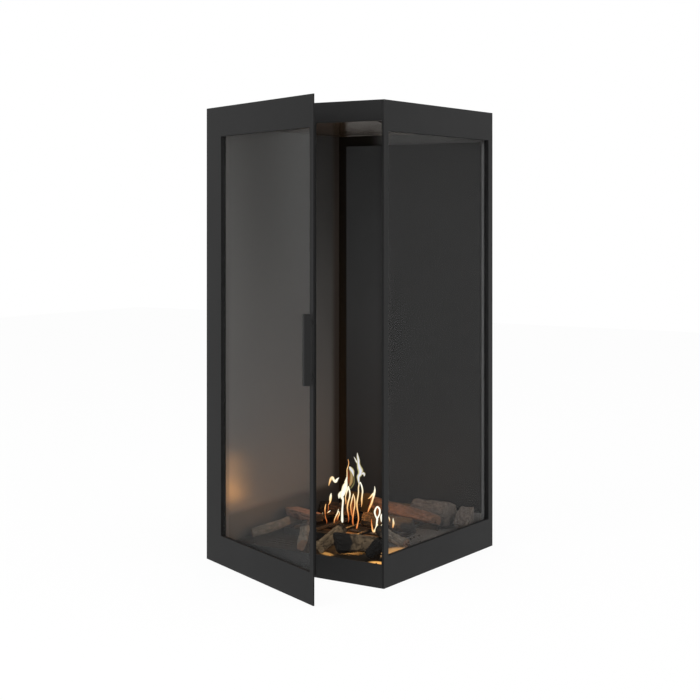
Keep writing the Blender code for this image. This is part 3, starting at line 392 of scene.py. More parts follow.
def steelMaterial(name, tone, rough, along):
    board, spot = newBoard(name)
    brush = board.noise(board.stretch(spot, along), 90.0, 5.0, 0.6)
    heat = board.noise(spot, 18.0, 4.0, 0.6)
    stained = tuple(part * steel["stainLevel"] * share for part, share in zip(tone, steel["stain"]))
    return board.set(colour=board.mix(heat.ramp(0.45, 0.8) * 0.6, tone, stained), metal=1.0,
                     rough=rough + (brush - 0.5) * 0.22, normal=board.bump(brush, 0.00005, 0.6))


iron = {"tone": (0.020, 0.018, 0.016), "rust": (0.075, 0.032, 0.014), "metal": 0.35, "rough": 0.62}


def ironMaterial():
    board, spot = newBoard("grateIronFinish")
    scale = board.noise(spot, 260.0, 5.0, 0.65)
    rust = board.noise(spot, 60.0, 5.0, 0.6)
    colour = board.mix(rust.ramp(0.5, 0.75) * 0.6, iron["tone"], iron["rust"])
    return board.set(colour=colour, metal=iron["metal"], rough=iron["rough"] + (scale - 0.5) * 0.3,
                     normal=board.bump(scale, 0.0004, 0.8))


# soft mineral or woven pieces: tone, tone deep between the fibres, fibres per metre, relief
softLooks = {"insulation": ((0.62, 0.58, 0.50), (0.40, 0.36, 0.29), 240.0, 0.0008),
             "wool": ((0.150, 0.105, 0.070), (0.060, 0.042, 0.028), 320.0, 0.0012),
             "seal": ((0.035, 0.034, 0.033), (0.008, 0.008, 0.008), 900.0, 0.0004)}


def softMaterial(kind):
    tone, deep, scale, depth = softLooks[kind]
    board, spot = newBoard(kind + "Finish")
    fibre = board.noise(board.stretch(spot, (1.0, 1.0, 0.25)), scale, 6.0, 0.7)
    patch = board.noise(spot, scale * 0.08, 3.0, 0.5)
    colour = board.mix(fibre.ramp(0.35, 0.7) * 0.8 + patch * 0.2, deep, tone)
    return board.set(colour=colour, rough=0.95, specular=0.1, normal=board.bump(fibre, depth, 0.9))


nodeFinishes = {
    "black_paint": paintMaterial("blackPaintFinish", paint["tone"], paint["worn"], paint["specular"]),
    "black_glass": panelMaterial(),
    "graphite_seal": softMaterial("seal"),
    "insulation": softMaterial("insulation"),
    "wool": softMaterial("wool"),
    "stainless": steelMaterial("burnerSteelFinish", steel["tone"], steel["rough"], (0.15, 2.5, 2.5)),
    "bright_pin": steelMaterial("pinSteelFinish", steel["pinTone"], steel["pinRough"], (2.5, 2.5, 0.1)),
    "magnet": steelMaterial("magnetFinish", steel["magnetTone"], steel["magnetRough"], (1.0, 1.0, 1.0)),
    "grate_iron": ironMaterial(),
}
ownFinishes = {
    "left_liner": enamelMaterial("wallEnamelFinish", enamel["wall"]),
    "back_liner": enamelMaterial("backEnamelFinish", enamel["back"]),
    "ceiling_plate": ceilingMaterial(),
    "floor_plate": floorMaterial(),
    "left_post": postMaterial(),
    "side_glass": glassMaterial("sideGlassFinish", glass["side"], "side_glass"),
    "door_glass": glassMaterial("doorGlassFinish", glass["door"], "door_glass"),
    "door_handle": paintMaterial("handlePaintFinish", paint["handleTone"], paint["tone"],
                                 paint["handleSpecular"]),
    # the door's paint is a darker copy, painted shade
    "door_frame": paintMaterial("doorPaintShadedCopy", paint["doorShadedTone"], paint["worn"], paint["doorSpecular"]),
    # the sill's paint is a lighter copy, painted light
    "front_sill": paintMaterial("sillPaintLitCopy", paint["sillLitTone"], paint["sillLitTone"],
                                paint["sillSpecular"], paint["sillRelief"]),
    "burner_top": steelMaterial("sootySteelFinish", steel["sootyTone"], steel["sootyRough"],
                                (0.15, 2.5, 2.5)),
}
slotOf = {entry["node"]: entry["material_slot"] for entry in frame["record"]["subparts"]}
for nodeName, slotName in slotOf.items():
    finish = ownFinishes.get(nodeName) or nodeFinishes.get(slotName)
    if finish:
        for slot in nodes[nodeName].material_slots:
            slot.material = finish
print("stage: finishes on the CAD nodes")


def newPiece(name, mesh, material, body):
    piece = bpy.data.objects.new(name, mesh)
    bpy.context.collection.objects.link(piece)
    mesh.materials.clear()
    mesh.materials.append(material)
    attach(piece, body)
    return piece


# bark, split wood and char share one recipe, told apart by the mesh's own attributes
logSkin = {"fibre": (22.0, 320.0, 320.0), "streak": (8.0, 90.0, 90.0), "patch": 55.0, "speck": 480.0,
           "ash": (0.05, 0.047, 0.045), "burnt": (0.22, 0.74), "crackShadeTone": 0.25, "rough": 0.88,
           "specular": 0.25, "relief": 0.0012}


def logMaterial(name, wood, woodDark, bark, barkLight, charTone):
    board, spot = newBoard(name)
    grain = board.attribute("grain", "Vector")
    barkMask = board.attribute("bark")
    charMask = board.attribute("char")
    crack = board.attribute("crack")
    fibre = board.noise(board.stretch(grain, logSkin["fibre"]), 1.0, 6.0, 0.65)
    streak = board.noise(board.stretch(grain, logSkin["streak"]), 1.0, 4.0, 0.6)
    patch = board.noise(spot, logSkin["patch"], 5.0, 0.6)
    speck = board.noise(spot, logSkin["speck"], 4.0, 0.7)
    woodColour = board.mix(fibre.ramp(0.35, 0.68), woodDark, wood)
    woodColour = board.mix(streak.ramp(0.5, 0.72) * 0.5, woodColour, woodDark)
    barkColour = board.mix(patch.ramp(0.4, 0.62) * 0.7 + speck.ramp(0.45, 0.75) * 0.3, bark, barkLight)
    skin = board.mix(barkMask, woodColour, barkColour)
    # furrows and end checks are darker: their own dark inner bark, and painted shade in the cracks
    skin = board.mix(crack.ramp(0.15, 0.8) * 0.85, skin, tuple(part * logSkin["crackShadeTone"] for part in bark))
    burnt = (charMask + (patch - 0.5) * 0.9).ramp(*logSkin["burnt"])
    ash = board.mix(speck.ramp(0.6, 0.8) * 0.5, charTone, logSkin["ash"])
    skin = board.mix(burnt, skin, ash)
    height = fibre * (1.0 - barkMask) * 0.6 + speck * 0.5 + patch * barkMask
    return board.set(colour=skin, rough=logSkin["rough"] + (speck - 0.5) * 0.2, specular=logSkin["specular"],
                     normal=board.bump(height, logSkin["relief"], 0.8))


# wood, dark wood, bark, light bark, char
logTones = {
    "plank": ((0.215, 0.155, 0.092), (0.120, 0.085, 0.050), (0.130, 0.092, 0.054), (0.200, 0.145, 0.086),
              (0.012, 0.010, 0.008)),
    "split": ((0.250, 0.172, 0.098), (0.130, 0.086, 0.048), (0.100, 0.074, 0.047), (0.190, 0.135, 0.080),
              (0.010, 0.009, 0.008)),
    "red": ((0.180, 0.098, 0.058), (0.095, 0.050, 0.030), (0.098, 0.052, 0.032), (0.176, 0.100, 0.064),
            (0.014, 0.011, 0.009)),
    # painted light: this log's tones are lifted to a bright orange as if lit by the fire
    "orange": ((0.380, 0.185, 0.105), (0.200, 0.098, 0.058), (0.165, 0.088, 0.056), (0.290, 0.152, 0.098),
               (0.020, 0.016, 0.013)),
    "grey": ((0.150, 0.120, 0.098), (0.085, 0.070, 0.058), (0.084, 0.070, 0.060), (0.124, 0.102, 0.086),
             (0.030, 0.026, 0.023)),
    "brown": ((0.260, 0.150, 0.095), (0.140, 0.085, 0.055), (0.105, 0.086, 0.066), (0.185, 0.155, 0.120),
              (0.020, 0.017, 0.014)),
    # painted shade: the darkest tones, for a log that lies in shade at the back
    "umber": ((0.060, 0.036, 0.020), (0.030, 0.018, 0.010), (0.024, 0.014, 0.008), (0.056, 0.033, 0.018),
              (0.008, 0.006, 0.004)),
    "ember": ((0.120, 0.060, 0.022), (0.048, 0.025, 0.010), (0.046, 0.024, 0.010), (0.098, 0.050, 0.020),
              (0.014, 0.011, 0.009)),
    "char": ((0.030, 0.026, 0.022), (0.014, 0.012, 0.010), (0.010, 0.009, 0.008), (0.024, 0.022, 0.020),
             (0.006, 0.0055, 0.005)),
}
logFinishes = {kind: logMaterial(kind + "LogFinish", *tones) for kind, tones in logTones.items()}

# finish, way the log's axis points, share of its length burnt from either end, and how deep its bark is cut
logLooks = {
    "log_branch_left": ("brown", (0, 1, 0), (0.0, 0.0), 0.7),
    "log_front_right": ("split", (1, 0, 0), (0.36, 0.0), 0.8),
    "log_charred_stub": ("char", (0, 0, 1), (0.5, 0.5), 1.0),
    "log_back_right": ("grey", (1, 0, 0), (0.0, 0.0), 0.75),
    "log_birch": ("grey", (1, 0, 0), (0.0, 0.0), 0.75),
    "log_front_split": ("plank", (0, 1, 0), (0.0, 0.10), 0.7),
    "log_left_top": ("orange", (1, 0, 0), (0.0, 0.15), 0.7),
    "log_left_back": ("umber", (1, 0, 0), (0.30, 0.0), 0.9),
    "log_back_centre": ("red", (1, 0, 0), (0.06, 0.0), 0.6),
    "log_centre_charred": ("ember", (1, 0, 0), (0.0, 0.12), 1.0),
    "log_right_branch": ("brown", (1, 0, 0), (0.22, 0.0), 0.7),
    "log_front_left": ("brown", (0, 1, 0), (0.0, 0.18), 0.7),
}
logDetail = {"rounds": 3, "smooth": 2, "weld": 0.00002, "flatCosine": 0.93, "flatFade": 0.06,
             "sameCosine": 0.985, "crossCosine": 0.4, "splitShare": 0.10, "endCosine": 0.55, "endFade": 0.3,
             "barkDepth": 0.0034, "fibreDepth": 0.0016, "stepDepth": 0.0022, "charDepth": 0.0026,
             "endDepth": 0.0030, "furrow": (0.28, 1.4), "crazing": (0.3, 1.5), "ragged": 0.22,
             "charFade": 0.20, "checkTurns": 2.2, "checkStart": 0.18}
# noise on a log, in waves per metre, along it and across it where it has two numbers
logWaves = {"plate": (30.0, 115.0), "fibre": (26.0, 420.0), "step": (12.0, 110.0), "wobble": 45.0,
            "lump": 70.0, "crazing": 125.0, "ragged": 30.0}


def clamp(value):
    return max(0.0, min(1.0, value))


def longAxis(points, heading):
    # direction in which the points spread most, by repeated multiplication
    centre = sum(points, Vector()) / len(points)
    direction = Vector(heading).normalized()
    for _ in range(30):
        total = Vector()
        for point in points:
            offset = point - centre
            total += offset * offset.dot(direction)
        direction = total.normalized()
    if direction.dot(Vector(heading)) < 0:
        direction.negate()
    return centre, direction


def flatSide(shape, axis):
    # the split face is the widest flat region that runs along the log
    best, area = None, 0.0
    for face in shape.faces:
        if abs(face.normal.dot(axis)) > logDetail["crossCosine"]:
            continue
        total = sum(other.calc_area() for other in shape.faces
                    if other.normal.dot(face.normal) > logDetail["sameCosine"])
        if total > area:
            best, area = face.normal.copy(), total
    whole = sum(face.calc_area() for face in shape.faces)
    return best if area > logDetail["splitShare"] * whole else None


def burntAmount(place, burnt):
    # 1 where the log is burnt, from either end, and 0 where it is sound
    first = (burnt[0] - place) / logDetail["charFade"] + 0.5 if burnt[0] else 0.0
    last = (place - 1.0 + burnt[1]) / logDetail["charFade"] + 0.5 if burnt[1] else 0.0
    return clamp(max(first, last))


def refine(shape):
    for _ in range(logDetail["rounds"]):
        bmesh.ops.subdivide_edges(shape, edges=shape.edges, cuts=1, use_grid_fill=True)
        bmesh.ops.triangulate(shape, faces=[face for face in shape.faces if len(face.verts) > 3])
    for _ in range(logDetail["smooth"]):
        bmesh.ops.smooth_vert(shape, verts=shape.verts, factor=0.5, use_axis_x=True, use_axis_y=True,
                              use_axis_z=True)
    shape.normal_update()


def crackLine(point, width, power):
    # 1 where two cells of the noise meet, fading to 0 within the width
    near = noise.voronoi(point)[0]
    return (1.0 - min(1.0, (near[1] - near[0]) / width)) ** power


def carveLog(name, finish, heading, burnt, depth):
    shape = bmesh.new()
    shape.from_mesh(nodes[name].data)
    bmesh.ops.remove_doubles(shape, verts=shape.verts, dist=logDetail["weld"])
    shape.normal_update()
    centre, axis = longAxis([vertex.co for vertex in shape.verts], heading)
    split = flatSide(shape, axis)
    side = axis.orthogonal().normalized()
    lift = axis.cross(side)
    reach = [(vertex.co - centre).dot(axis) for vertex in shape.verts]
    low, high = min(reach), max(reach)
    refine(shape)
    layers = shape.verts.layers
    grainLayer = layers.float_vector.new("grain")
    barkLayer, charLayer, crackLayer = [layers.float.new(kind) for kind in ("bark", "char", "crack")]
    seed = Vector((len(name) * 1.7, centre.x * 40.0, centre.y * 40.0))
    moves = []
    for vertex in shape.verts:
        offset, normal = vertex.co - centre, vertex.normal
        along = offset.dot(axis)
        local = Vector((along, offset.dot(side), offset.dot(lift)))
        u, v = local.y, local.z
        share = (along - low) / (high - low)
        endness = clamp((abs(normal.dot(axis)) - logDetail["endCosine"]) / logDetail["endFade"])
        flatness = 0.0
        if split is not None:
            fade = logDetail["flatFade"]
            flatness = clamp((normal.dot(split) - logDetail["flatCosine"] + fade) / fade)
        barkness = (1.0 - endness) * (1.0 - flatness)
        # bark plates, long along the log, with furrows between them
        wobble = noise.noise(local * logWaves["wobble"] + seed) * 0.5
        length, width = logWaves["plate"]
        plate = Vector((along * length + wobble, u * width, v * width)) + seed
        furrow = crackLine(plate, *logDetail["furrow"])
        lump = noise.noise(local * logWaves["lump"] + seed * 2.0)
        # fibres and steps on the split face, and radial checks on the ends
        length, width = logWaves["fibre"]
        fibre = noise.noise(Vector((along * length, u * width, v * width)) + seed)
        length, width = logWaves["step"]
        step = noise.noise(Vector((along * length, u * width, v * width)) + seed * 3.0)
        spoke = Vector((math.atan2(v, u) * logDetail["checkTurns"], 3.0, share * 2.0)) + seed
        check = max(0.0, noise.noise(spoke) - logDetail["checkStart"])
        barkCut = logDetail["barkDepth"] * depth * (furrow * 0.75 + 0.25 * (0.5 - 0.5 * lump))
        woodCut = logDetail["fibreDepth"] * (0.5 - 0.5 * fibre) + logDetail["stepDepth"] * max(0.0, step)
        endCut = logDetail["endDepth"] * (check * 2.0 + 0.25 * (0.5 + 0.5 * fibre))
        cut = barkCut * barkness + woodCut * flatness + endCut * endness
        if finish in ("char", "ember"):
            crazing = crackLine(local * logWaves["crazing"] + seed, *logDetail["crazing"])
            cut = max(cut, logDetail["charDepth"] * crazing)
            furrow = max(furrow, crazing)
        ragged = share + logDetail["ragged"] * noise.noise(local * logWaves["ragged"] + seed * 4.0)
        vertex[grainLayer] = local
        vertex[barkLayer] = barkness
        vertex[charLayer] = burntAmount(ragged, burnt)
        vertex[crackLayer] = min(1.0, furrow * barkness * depth + check * 2.0 * endness)
        moves.append((vertex, normal * -cut))
    for vertex, move in moves:
        vertex.co += move
    mesh = bpy.data.meshes.new(name + "_carved")
    shape.to_mesh(mesh)
    shape.free()
    mesh.shade_smooth()
    piece = newPiece(name + "_carved", mesh, logFinishes[finish], "body")
    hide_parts(name)


for logName, logLook in logLooks.items():
    carveLog(logName, *logLook)
print("stage: logs carved")


# the photograph's view, which the camera takes and the flames are drawn for
view = {"eye": (1.9479, -2.9315, 0.8183), "turn": 33.7225, "lens": 73.98, "sensor": 36.0, "shift": -0.1888,
        "reach": 60.0}
# flames: thin closed strands on curved centre lines, standing over the burner slot
flame = {"sides": 8, "samples": 6, "thin": 0.5, "thinnest": 0.2, "strength": 1.15, "slotDepth": -0.005,
         "middle": (0.005, 0.015, 0.0), "across": (0.8317, 0.5552, 0.0), "turn": 0.25, "seed": 5,
         "veils": ("veil", "olive"), "paleness": {"white": 0.15, "pale": 1.0, "olive": 1.0}, "warmBy": 1.2}
millimetre = 0.001
# kind, depth, warmth of the foot and tip (0 ember red, 1 white), rows of (across, height, half width) in mm
flameStrands = [
    ("pale", 0, 0.95, 1.0, [(3, 163, 1.2), (1, 176, 3.2), (1, 184, 4.4), (5, 190, 5.6), (6, 198, 6.6),
        (3, 206, 5.6), (1, 215, 4.0), (1, 223, 3.4), (-1, 233, 2.6), (-2, 242, 0.5)]),
    ("pale", 1, 0.95, 1.0, [(10, 190, 4.0), (13, 192, 3.0), (15, 189, 3.0), (15, 184, 0.8)]),
    ("pale", 1, 0.95, 0.9, [(3, 212, 3.4), (-3, 219, 2.4), (-7, 226, 1.6), (-10, 232, 0.4)]),
    ("line", 0, 0.20, 0.75, [(-4, 55, 0.7), (-3, 59, 2.0), (-1, 68, 1.5), (1, 78, 1.5), (0, 92, 1.6),
        (-2, 104, 1.6), (-3, 117, 1.7), (-1, 131, 1.7), (1, 144, 1.4), (1, 156, 1.4), (3, 168, 1.6)]),
    ("line", 0, 0.35, 1.0, [(8, 109, 0.4), (9, 118, 1.3), (9, 128, 2.0), (10, 138, 1.8), (11, 148, 1.8),
        (9, 160, 1.7), (5, 170, 1.4)]),
    ("olive", -5, 0.95, 0.95, [(-19, 154, 1.4), (-14, 160, 2.0), (-10, 168, 1.6), (-10, 179, 1.3),
        (-11, 188, 1.2)]),
    ("pale", -5, 0.85, 0.9, [(-11, 184, 0.8), (-12, 191, 2.6), (-14, 197, 4.8), (-18, 203, 4.6),
        (-21, 208, 1.5)]),
    ("line", -5, 0.80, 0.45, [(-33, 171, 1.0), (-28, 179, 1.2), (-27, 190, 1.0), (-27, 201, 1.0),
        (-24, 210, 0.9), (-23, 219, 0.7), (-25, 226, 0.4)]),
    ("olive", -4, 0.50, 0.60, [(-21, 160, 2.4), (-17, 170, 4.6), (-16, 182, 4.8), (-17, 192, 3.6),
        (-20, 202, 2.4)]),
    ("veil", -3, 0.0, 0.0, [(-24, 166, 1.2), (-23, 174, 3.4), (-23, 184, 3.8), (-24, 194, 2.6),
        (-24, 202, 1.0)]),
    ("white", -8, 1.0, 0.9, [(-38, 71, 1.4), (-39, 76, 3.0), (-39, 86, 2.7), (-39, 98, 2.3), (-38, 112, 2.1),
        (-37, 126, 2.6), (-40, 135, 4.6), (-37, 143, 6.0), (-34, 152, 6.8), (-32, 160, 6.4), (-30, 167, 4.2),
        (-29, 175, 2.8), (-27, 183, 1.0)]),
    ("white", -9, 0.95, 0.95, [(-47, 130, 1.0), (-46, 138, 3.6), (-42, 143, 4.2), (-38, 147, 3.0)]),
    ("line", -6, 0.35, 0.85, [(-30, 116, 0.5), (-30, 124, 1.2), (-31, 132, 1.3), (-29, 142, 1.4),
        (-26, 151, 1.6), (-24, 158, 1.8)]),
    ("line", -5, 0.10, 0.90, [(-24, 71, 0.5), (-23, 80, 1.2), (-24, 90, 1.3), (-26, 102, 1.6),
        (-26, 111, 1.7), (-24, 122, 1.8), (-21, 132, 1.8), (-20, 142, 1.8), (-22, 152, 1.8),
        (-24, 160, 1.2)]),
    ("line", 2, 0.15, 0.75, [(-15, 86, 0.6), (-17, 98, 1.2), (-18, 112, 1.4), (-16, 122, 1.4),
        (-14, 132, 1.4), (-12, 141, 0.5)]),
    ("line", 3, 0.08, 0.70, [(-11, 62, 0.6), (-13, 71, 2.0), (-13, 80, 1.8), (-12, 90, 1.8), (-10, 102, 1.4),
        (-8, 112, 1.4), (-8, 124, 1.5), (-10, 135, 1.2), (-12, 142, 0.4)]),
    ("veil", 4, 0.0, 0.10, [(-12, 84, 1.5), (-14, 100, 3.0), (-13, 116, 3.5), (-12, 128, 2.0),
        (-12, 137, 0.6)]),
    ("white", -6, 0.45, 1.0, [(-72, 161, 0.4), (-70, 169, 1.8), (-67, 177, 3.0), (-63, 181, 3.4),
        (-59, 174, 3.0), (-55, 172, 3.8), (-51, 177, 2.2), (-47, 181, 0.5)]),
    ("line", -4, 0.30, 0.95, [(-73, 114, 0.6), (-69, 120, 1.6), (-68, 128, 3.0), (-67, 136, 2.6),
        (-66, 143, 0.5)]),
    ("line", -4, 0.02, 0.20, [(-75, 96, 0.4), (-73, 104, 0.9), (-73, 113, 0.7)]),
    ("white", -3, 0.40, 0.95, [(-76, 94, 0.4), (-72, 97, 1.4), (-68, 100, 0.5)]),
    ("line", 0, 0.05, 0.50, [(-77, 68, 0.4), (-77, 75, 1.2), (-80, 84, 0.9), (-81, 96, 0.9), (-81, 106, 1.5),
        (-79, 116, 0.6)]),
    ("line", 3, 0.30, 0.75, [(-88, 75, 0.4), (-88, 82, 1.5), (-87, 89, 1.1), (-87, 95, 0.4)]),
    ("veil", -13, 0.0, 0.15, [(-55, 72, 1.0), (-53, 80, 3.6), (-50, 88, 3.4), (-49, 95, 1.0)]),
    ("line", -14, 0.30, 0.85, [(-59, 69, 0.4), (-58, 77, 1.1), (-55, 85, 1.2), (-51, 93, 1.5),
        (-48, 104, 0.4)]),
    ("line", -14, 0.15, 0.75, [(-50, 76, 0.4), (-49, 84, 1.0), (-46, 92, 1.2), (-48, 99, 1.0)]),
    ("line", 8, 0.15, 1.0, [(23, 82, 0.4), (24, 94, 1.0), (26, 102, 1.8), (29, 109, 2.2), (33, 118, 2.4),
        (36, 128, 2.2), (39, 139, 2.6), (41, 149, 2.2), (41, 156, 0.9), (40, 160, 0.4)]),
    ("line", 8, 0.40, 0.80, [(24, 129, 0.4), (29, 132, 1.6), (34, 138, 2.2), (38, 143, 1.6)]),
    ("veil", 9, 0.0, 0.20, [(25, 102, 0.8), (28, 112, 2.6), (31, 122, 3.0), (34, 132, 2.4), (38, 140, 1.0)]),
    ("ring", -62, 0.95, 1.0, [(46, 81, 2.0), (42, 90, 1.8), (41, 98, 2.2), (44, 106, 1.8), (48, 109, 2.0),
        (53, 103, 2.0), (53, 93, 1.9), (50, 86, 1.8), (46, 79, 2.0)]),
    ("veil", -61, 0.0, 0.20, [(47, 86, 1.0), (47, 94, 3.2), (48, 102, 3.0), (48, 107, 1.0)]),
    ("line", -62, 0.10, 1.0, [(33, 80, 0.4), (33, 71, 1.2), (34, 62, 1.6), (36, 52, 2.2), (39, 49, 2.6),
        (42, 54, 2.0), (45, 62, 1.8), (46, 70, 2.0), (47, 80, 2.4)]),
    ("line", -62, 0.12, 0.85, [(54, 48, 0.5), (51, 55, 1.4), (48, 63, 1.5), (46, 70, 1.5)]),
    ("white", -60, 0.85, 1.0, [(57, 72, 0.5), (57, 80, 2.4), (57, 87, 2.4), (58, 92, 0.5)]),
    ("line", -60, 0.40, 0.80, [(55, 53, 0.4), (56, 60, 1.3), (58, 66, 0.5)]),
    ("line", -60, 0.30, 0.95, [(85, 57, 0.5), (86, 63, 2.0), (87, 70, 2.4), (86, 77, 1.4), (86, 82, 0.4)]),
    ("line", -60, 0.35, 0.80, [(78, 73, 0.4), (77, 79, 1.4), (75, 85, 0.5)]),
]


def curvePoint(rows, place):
    # smooth curve through the rows, place from 0 to len(rows) - 1
    index = min(int(place), len(rows) - 2)
    share = place - index
    before = rows[max(index - 1, 0)]
    start, end = rows[index], rows[index + 1]
    after = rows[min(index + 2, len(rows) - 1)]
    result = []
    for a, b, c, d in zip(before, start, end, after):
        result.append(0.5 * (2 * b + (c - a) * share + (2 * a - 5 * b + 4 * c - d) * share ** 2
                             + (3 * b - a - 3 * c + d) * share ** 3))
    return result


def overSlot(across, height, depth):
    # the strand keeps its place in the picture, but stands in the upright plane at this depth
    eye = Vector(view["eye"])
    seen = Vector(flame["middle"]) + Vector(flame["across"]) * (across * millimetre)
    seen += Vector((0.0, 0.0, height * millimetre))
    level = (flame["slotDepth"] + depth * millimetre - eye.y) / (seen.y - eye.y)
    return eye + (seen - eye) * level


def addStrand(shape, layers, strand, turn):
    kind, depth, foot, tip, rows = strand
    count = (len(rows) - 1) * flame["samples"]
    right = Matrix.Rotation(turn, 3, "Z") @ Vector(flame["across"])
    away = Vector((-right.y, right.x, 0.0))
    loops = []
    for step in range(count + 1):
        place = step * (len(rows) - 1) / count
        u, z, half = curvePoint(rows, place)
        half = max(half, flame["thinnest"]) * millimetre
        ahead = curvePoint(rows, min(place + 0.1, len(rows) - 1))
        behind = curvePoint(rows, max(place - 0.1, 0))
        run = Vector((ahead[0] - behind[0], ahead[1] - behind[1])).normalized()
        centre = overSlot(u, z, depth)
        wide = right * run.y + Vector((0.0, 0.0, -run.x))
        ring = []
        for index in range(flame["sides"]):
            angle = math.tau * index / flame["sides"]
            offset = wide * (half * math.cos(angle)) + away * (half * flame["thin"] * math.sin(angle))
            vertex = shape.verts.new(centre + offset)
            vertex[layers["rim"]] = abs(math.cos(angle)) ** 2
            vertex[layers["warmth"]] = foot + (tip - foot) * min(1.0, step / count * flame["warmBy"])
            vertex[layers["veil"]] = 1.0 if kind in flame["veils"] else 0.0
            vertex[layers["pale"]] = flame["paleness"].get(kind, 0.0)
            ring.append(vertex)
        loops.append(ring)
    for one, two in zip(loops, loops[1:]):
        for index in range(flame["sides"]):
            after = (index + 1) % flame["sides"]
            shape.faces.new((one[index], one[after], two[after], two[index]))
    shape.faces.new(list(reversed(loops[0])))
    shape.faces.new(loops[-1])


def flameMaterial():
    board, spot = newBoard("flameGlow")
    warmth, rim = board.attribute("warmth"), board.attribute("rim")
    veil, pale = board.attribute("veil"), board.attribute("pale")
    lick = board.noise(board.stretch(spot, (1.0, 1.0, 0.35)), 150.0, 3.0, 0.5)
    hot = warmth - rim * 0.22 + (lick - 0.5) * 0.35
    colour = board.colours(hot, [(0.0, (0.30, 0.06, 0.015)), (0.22, (0.80, 0.24, 0.06)),
                                 (0.5, (1.0, 0.62, 0.24)), (0.78, (1.0, 0.93, 0.66)),
                                 (1.0, (1.0, 1.0, 0.93))])
    cool = board.mix(rim.ramp(0.1, 0.7) * (1.0 - veil) + veil, (0.66, 0.66, 0.73), (0.40, 0.36, 0.12))
    colour = board.mix(pale * warmth.ramp(0.4, 0.8) * 0.95, colour, cool)
    solid = (1.0 - rim.ramp(0.4, 1.0) * 0.55) * (0.85 + lick * 0.3)
    thinned = 0.30 * (1.0 - rim) * (0.4 + lick)
    board.material.cycles.emission_sampling = "NONE"
    return board.set(colour=(0.0, 0.0, 0.0), rough=1.0, specular=0.0, glow=colour,
                     glowStrength=flame["strength"], alpha=solid * (1.0 - veil) + thinned * veil)


def buildFlames():
    chance = random.Random(flame["seed"])
    shape = bmesh.new()
    layers = {name: shape.verts.layers.float.new(name) for name in ("rim", "warmth", "veil", "pale")}
    for strand in flameStrands:
        addStrand(shape, layers, strand, chance.uniform(-flame["turn"], flame["turn"]))
    bmesh.ops.recalc_face_normals(shape, faces=shape.faces)
    mesh = bpy.data.meshes.new("flames")
    shape.to_mesh(mesh)
    shape.free()
    mesh.shade_smooth()
    newPiece("flames", mesh, flameMaterial(), "body")


buildFlames()
print("stage: flames")


# adds nodes to any tree; a value that is a socket is linked, and the first output comes back
def treeAdder(tree):
    def add(kind, values=None, **settings):
        node = tree.nodes.new(kind)
        for key, value in settings.items():
            setattr(node, key, value)
        for key, value in (values or {}).items():
            if isinstance(value, bpy.types.NodeSocket):
                tree.links.new(value, node.inputs[key])
            else:
                node.inputs[key].default_value = value
        return node.outputs[0] if node.outputs else node
    return add


def newTree(name, inputs):
    # a Geometry Nodes tree with named inputs; keys are their identifiers, source the sockets inside
    tree = bpy.data.node_groups.new(name, "GeometryNodeTree")
    face = tree.interface
    face.new_socket("Geometry", in_out="INPUT", socket_type="NodeSocketGeometry")
    keys = {label: face.new_socket(label, in_out="INPUT", socket_type="NodeSocket" + kind).identifier
            for label, kind in inputs.items()}
    face.new_socket("Geometry", in_out="OUTPUT", socket_type="NodeSocketGeometry")
    add = treeAdder(tree)
    return tree, keys, add, add("NodeGroupInput").node.outputs


def setOut(name, places, layer, tree, keys, values, finish, body):
    # runs the tree on points that carry one named value each, and keeps the plain mesh
    label, kind, rows = layer
    mesh = bpy.data.meshes.new(name + "_points")
    mesh.from_pydata(places, [], [])
    store = mesh.attributes.new(label, kind, "POINT").data
    for index, row in enumerate(rows):
        setattr(store[index], "vector" if kind == "FLOAT_VECTOR" else "value", row)
    carrier = bpy.data.objects.new(name + "_points", mesh)
    bpy.context.collection.objects.link(carrier)
    setter = carrier.modifiers.new("setter", "NODES")
    setter.node_group = tree
    for key, value in values.items():
        setter[keys[key]] = value
    plain = bpy.data.meshes.new_from_object(carrier.evaluated_get(bpy.context.evaluated_depsgraph_get()))
    bpy.data.objects.remove(carrier, do_unlink=True)
    plain.name = name
    newPiece(name, plain, finish, body)


# char crumbs and live embers lying on the open floor plate, set out by Geometry Nodes
crumb = {"count": 70, "embers": 16, "tries": 6000, "seed": 11, "small": 0.0016, "large": 0.0042, "detail": 2,
         "uneven": 0.0012, "margin": 0.005, "top": 0.045, "sunk": 0.42,
         "thin": (0.7, 0.5, 0.45), "thick": (1.2, 0.9, 0.7),
         "char": (0.010, 0.009, 0.008), "ash": (0.070, 0.062, 0.055), "crust": (0.030, 0.020, 0.015)}
crumbInputs = {"Uneven": "Float", "Seed": "Int", "Finish": "Material"}


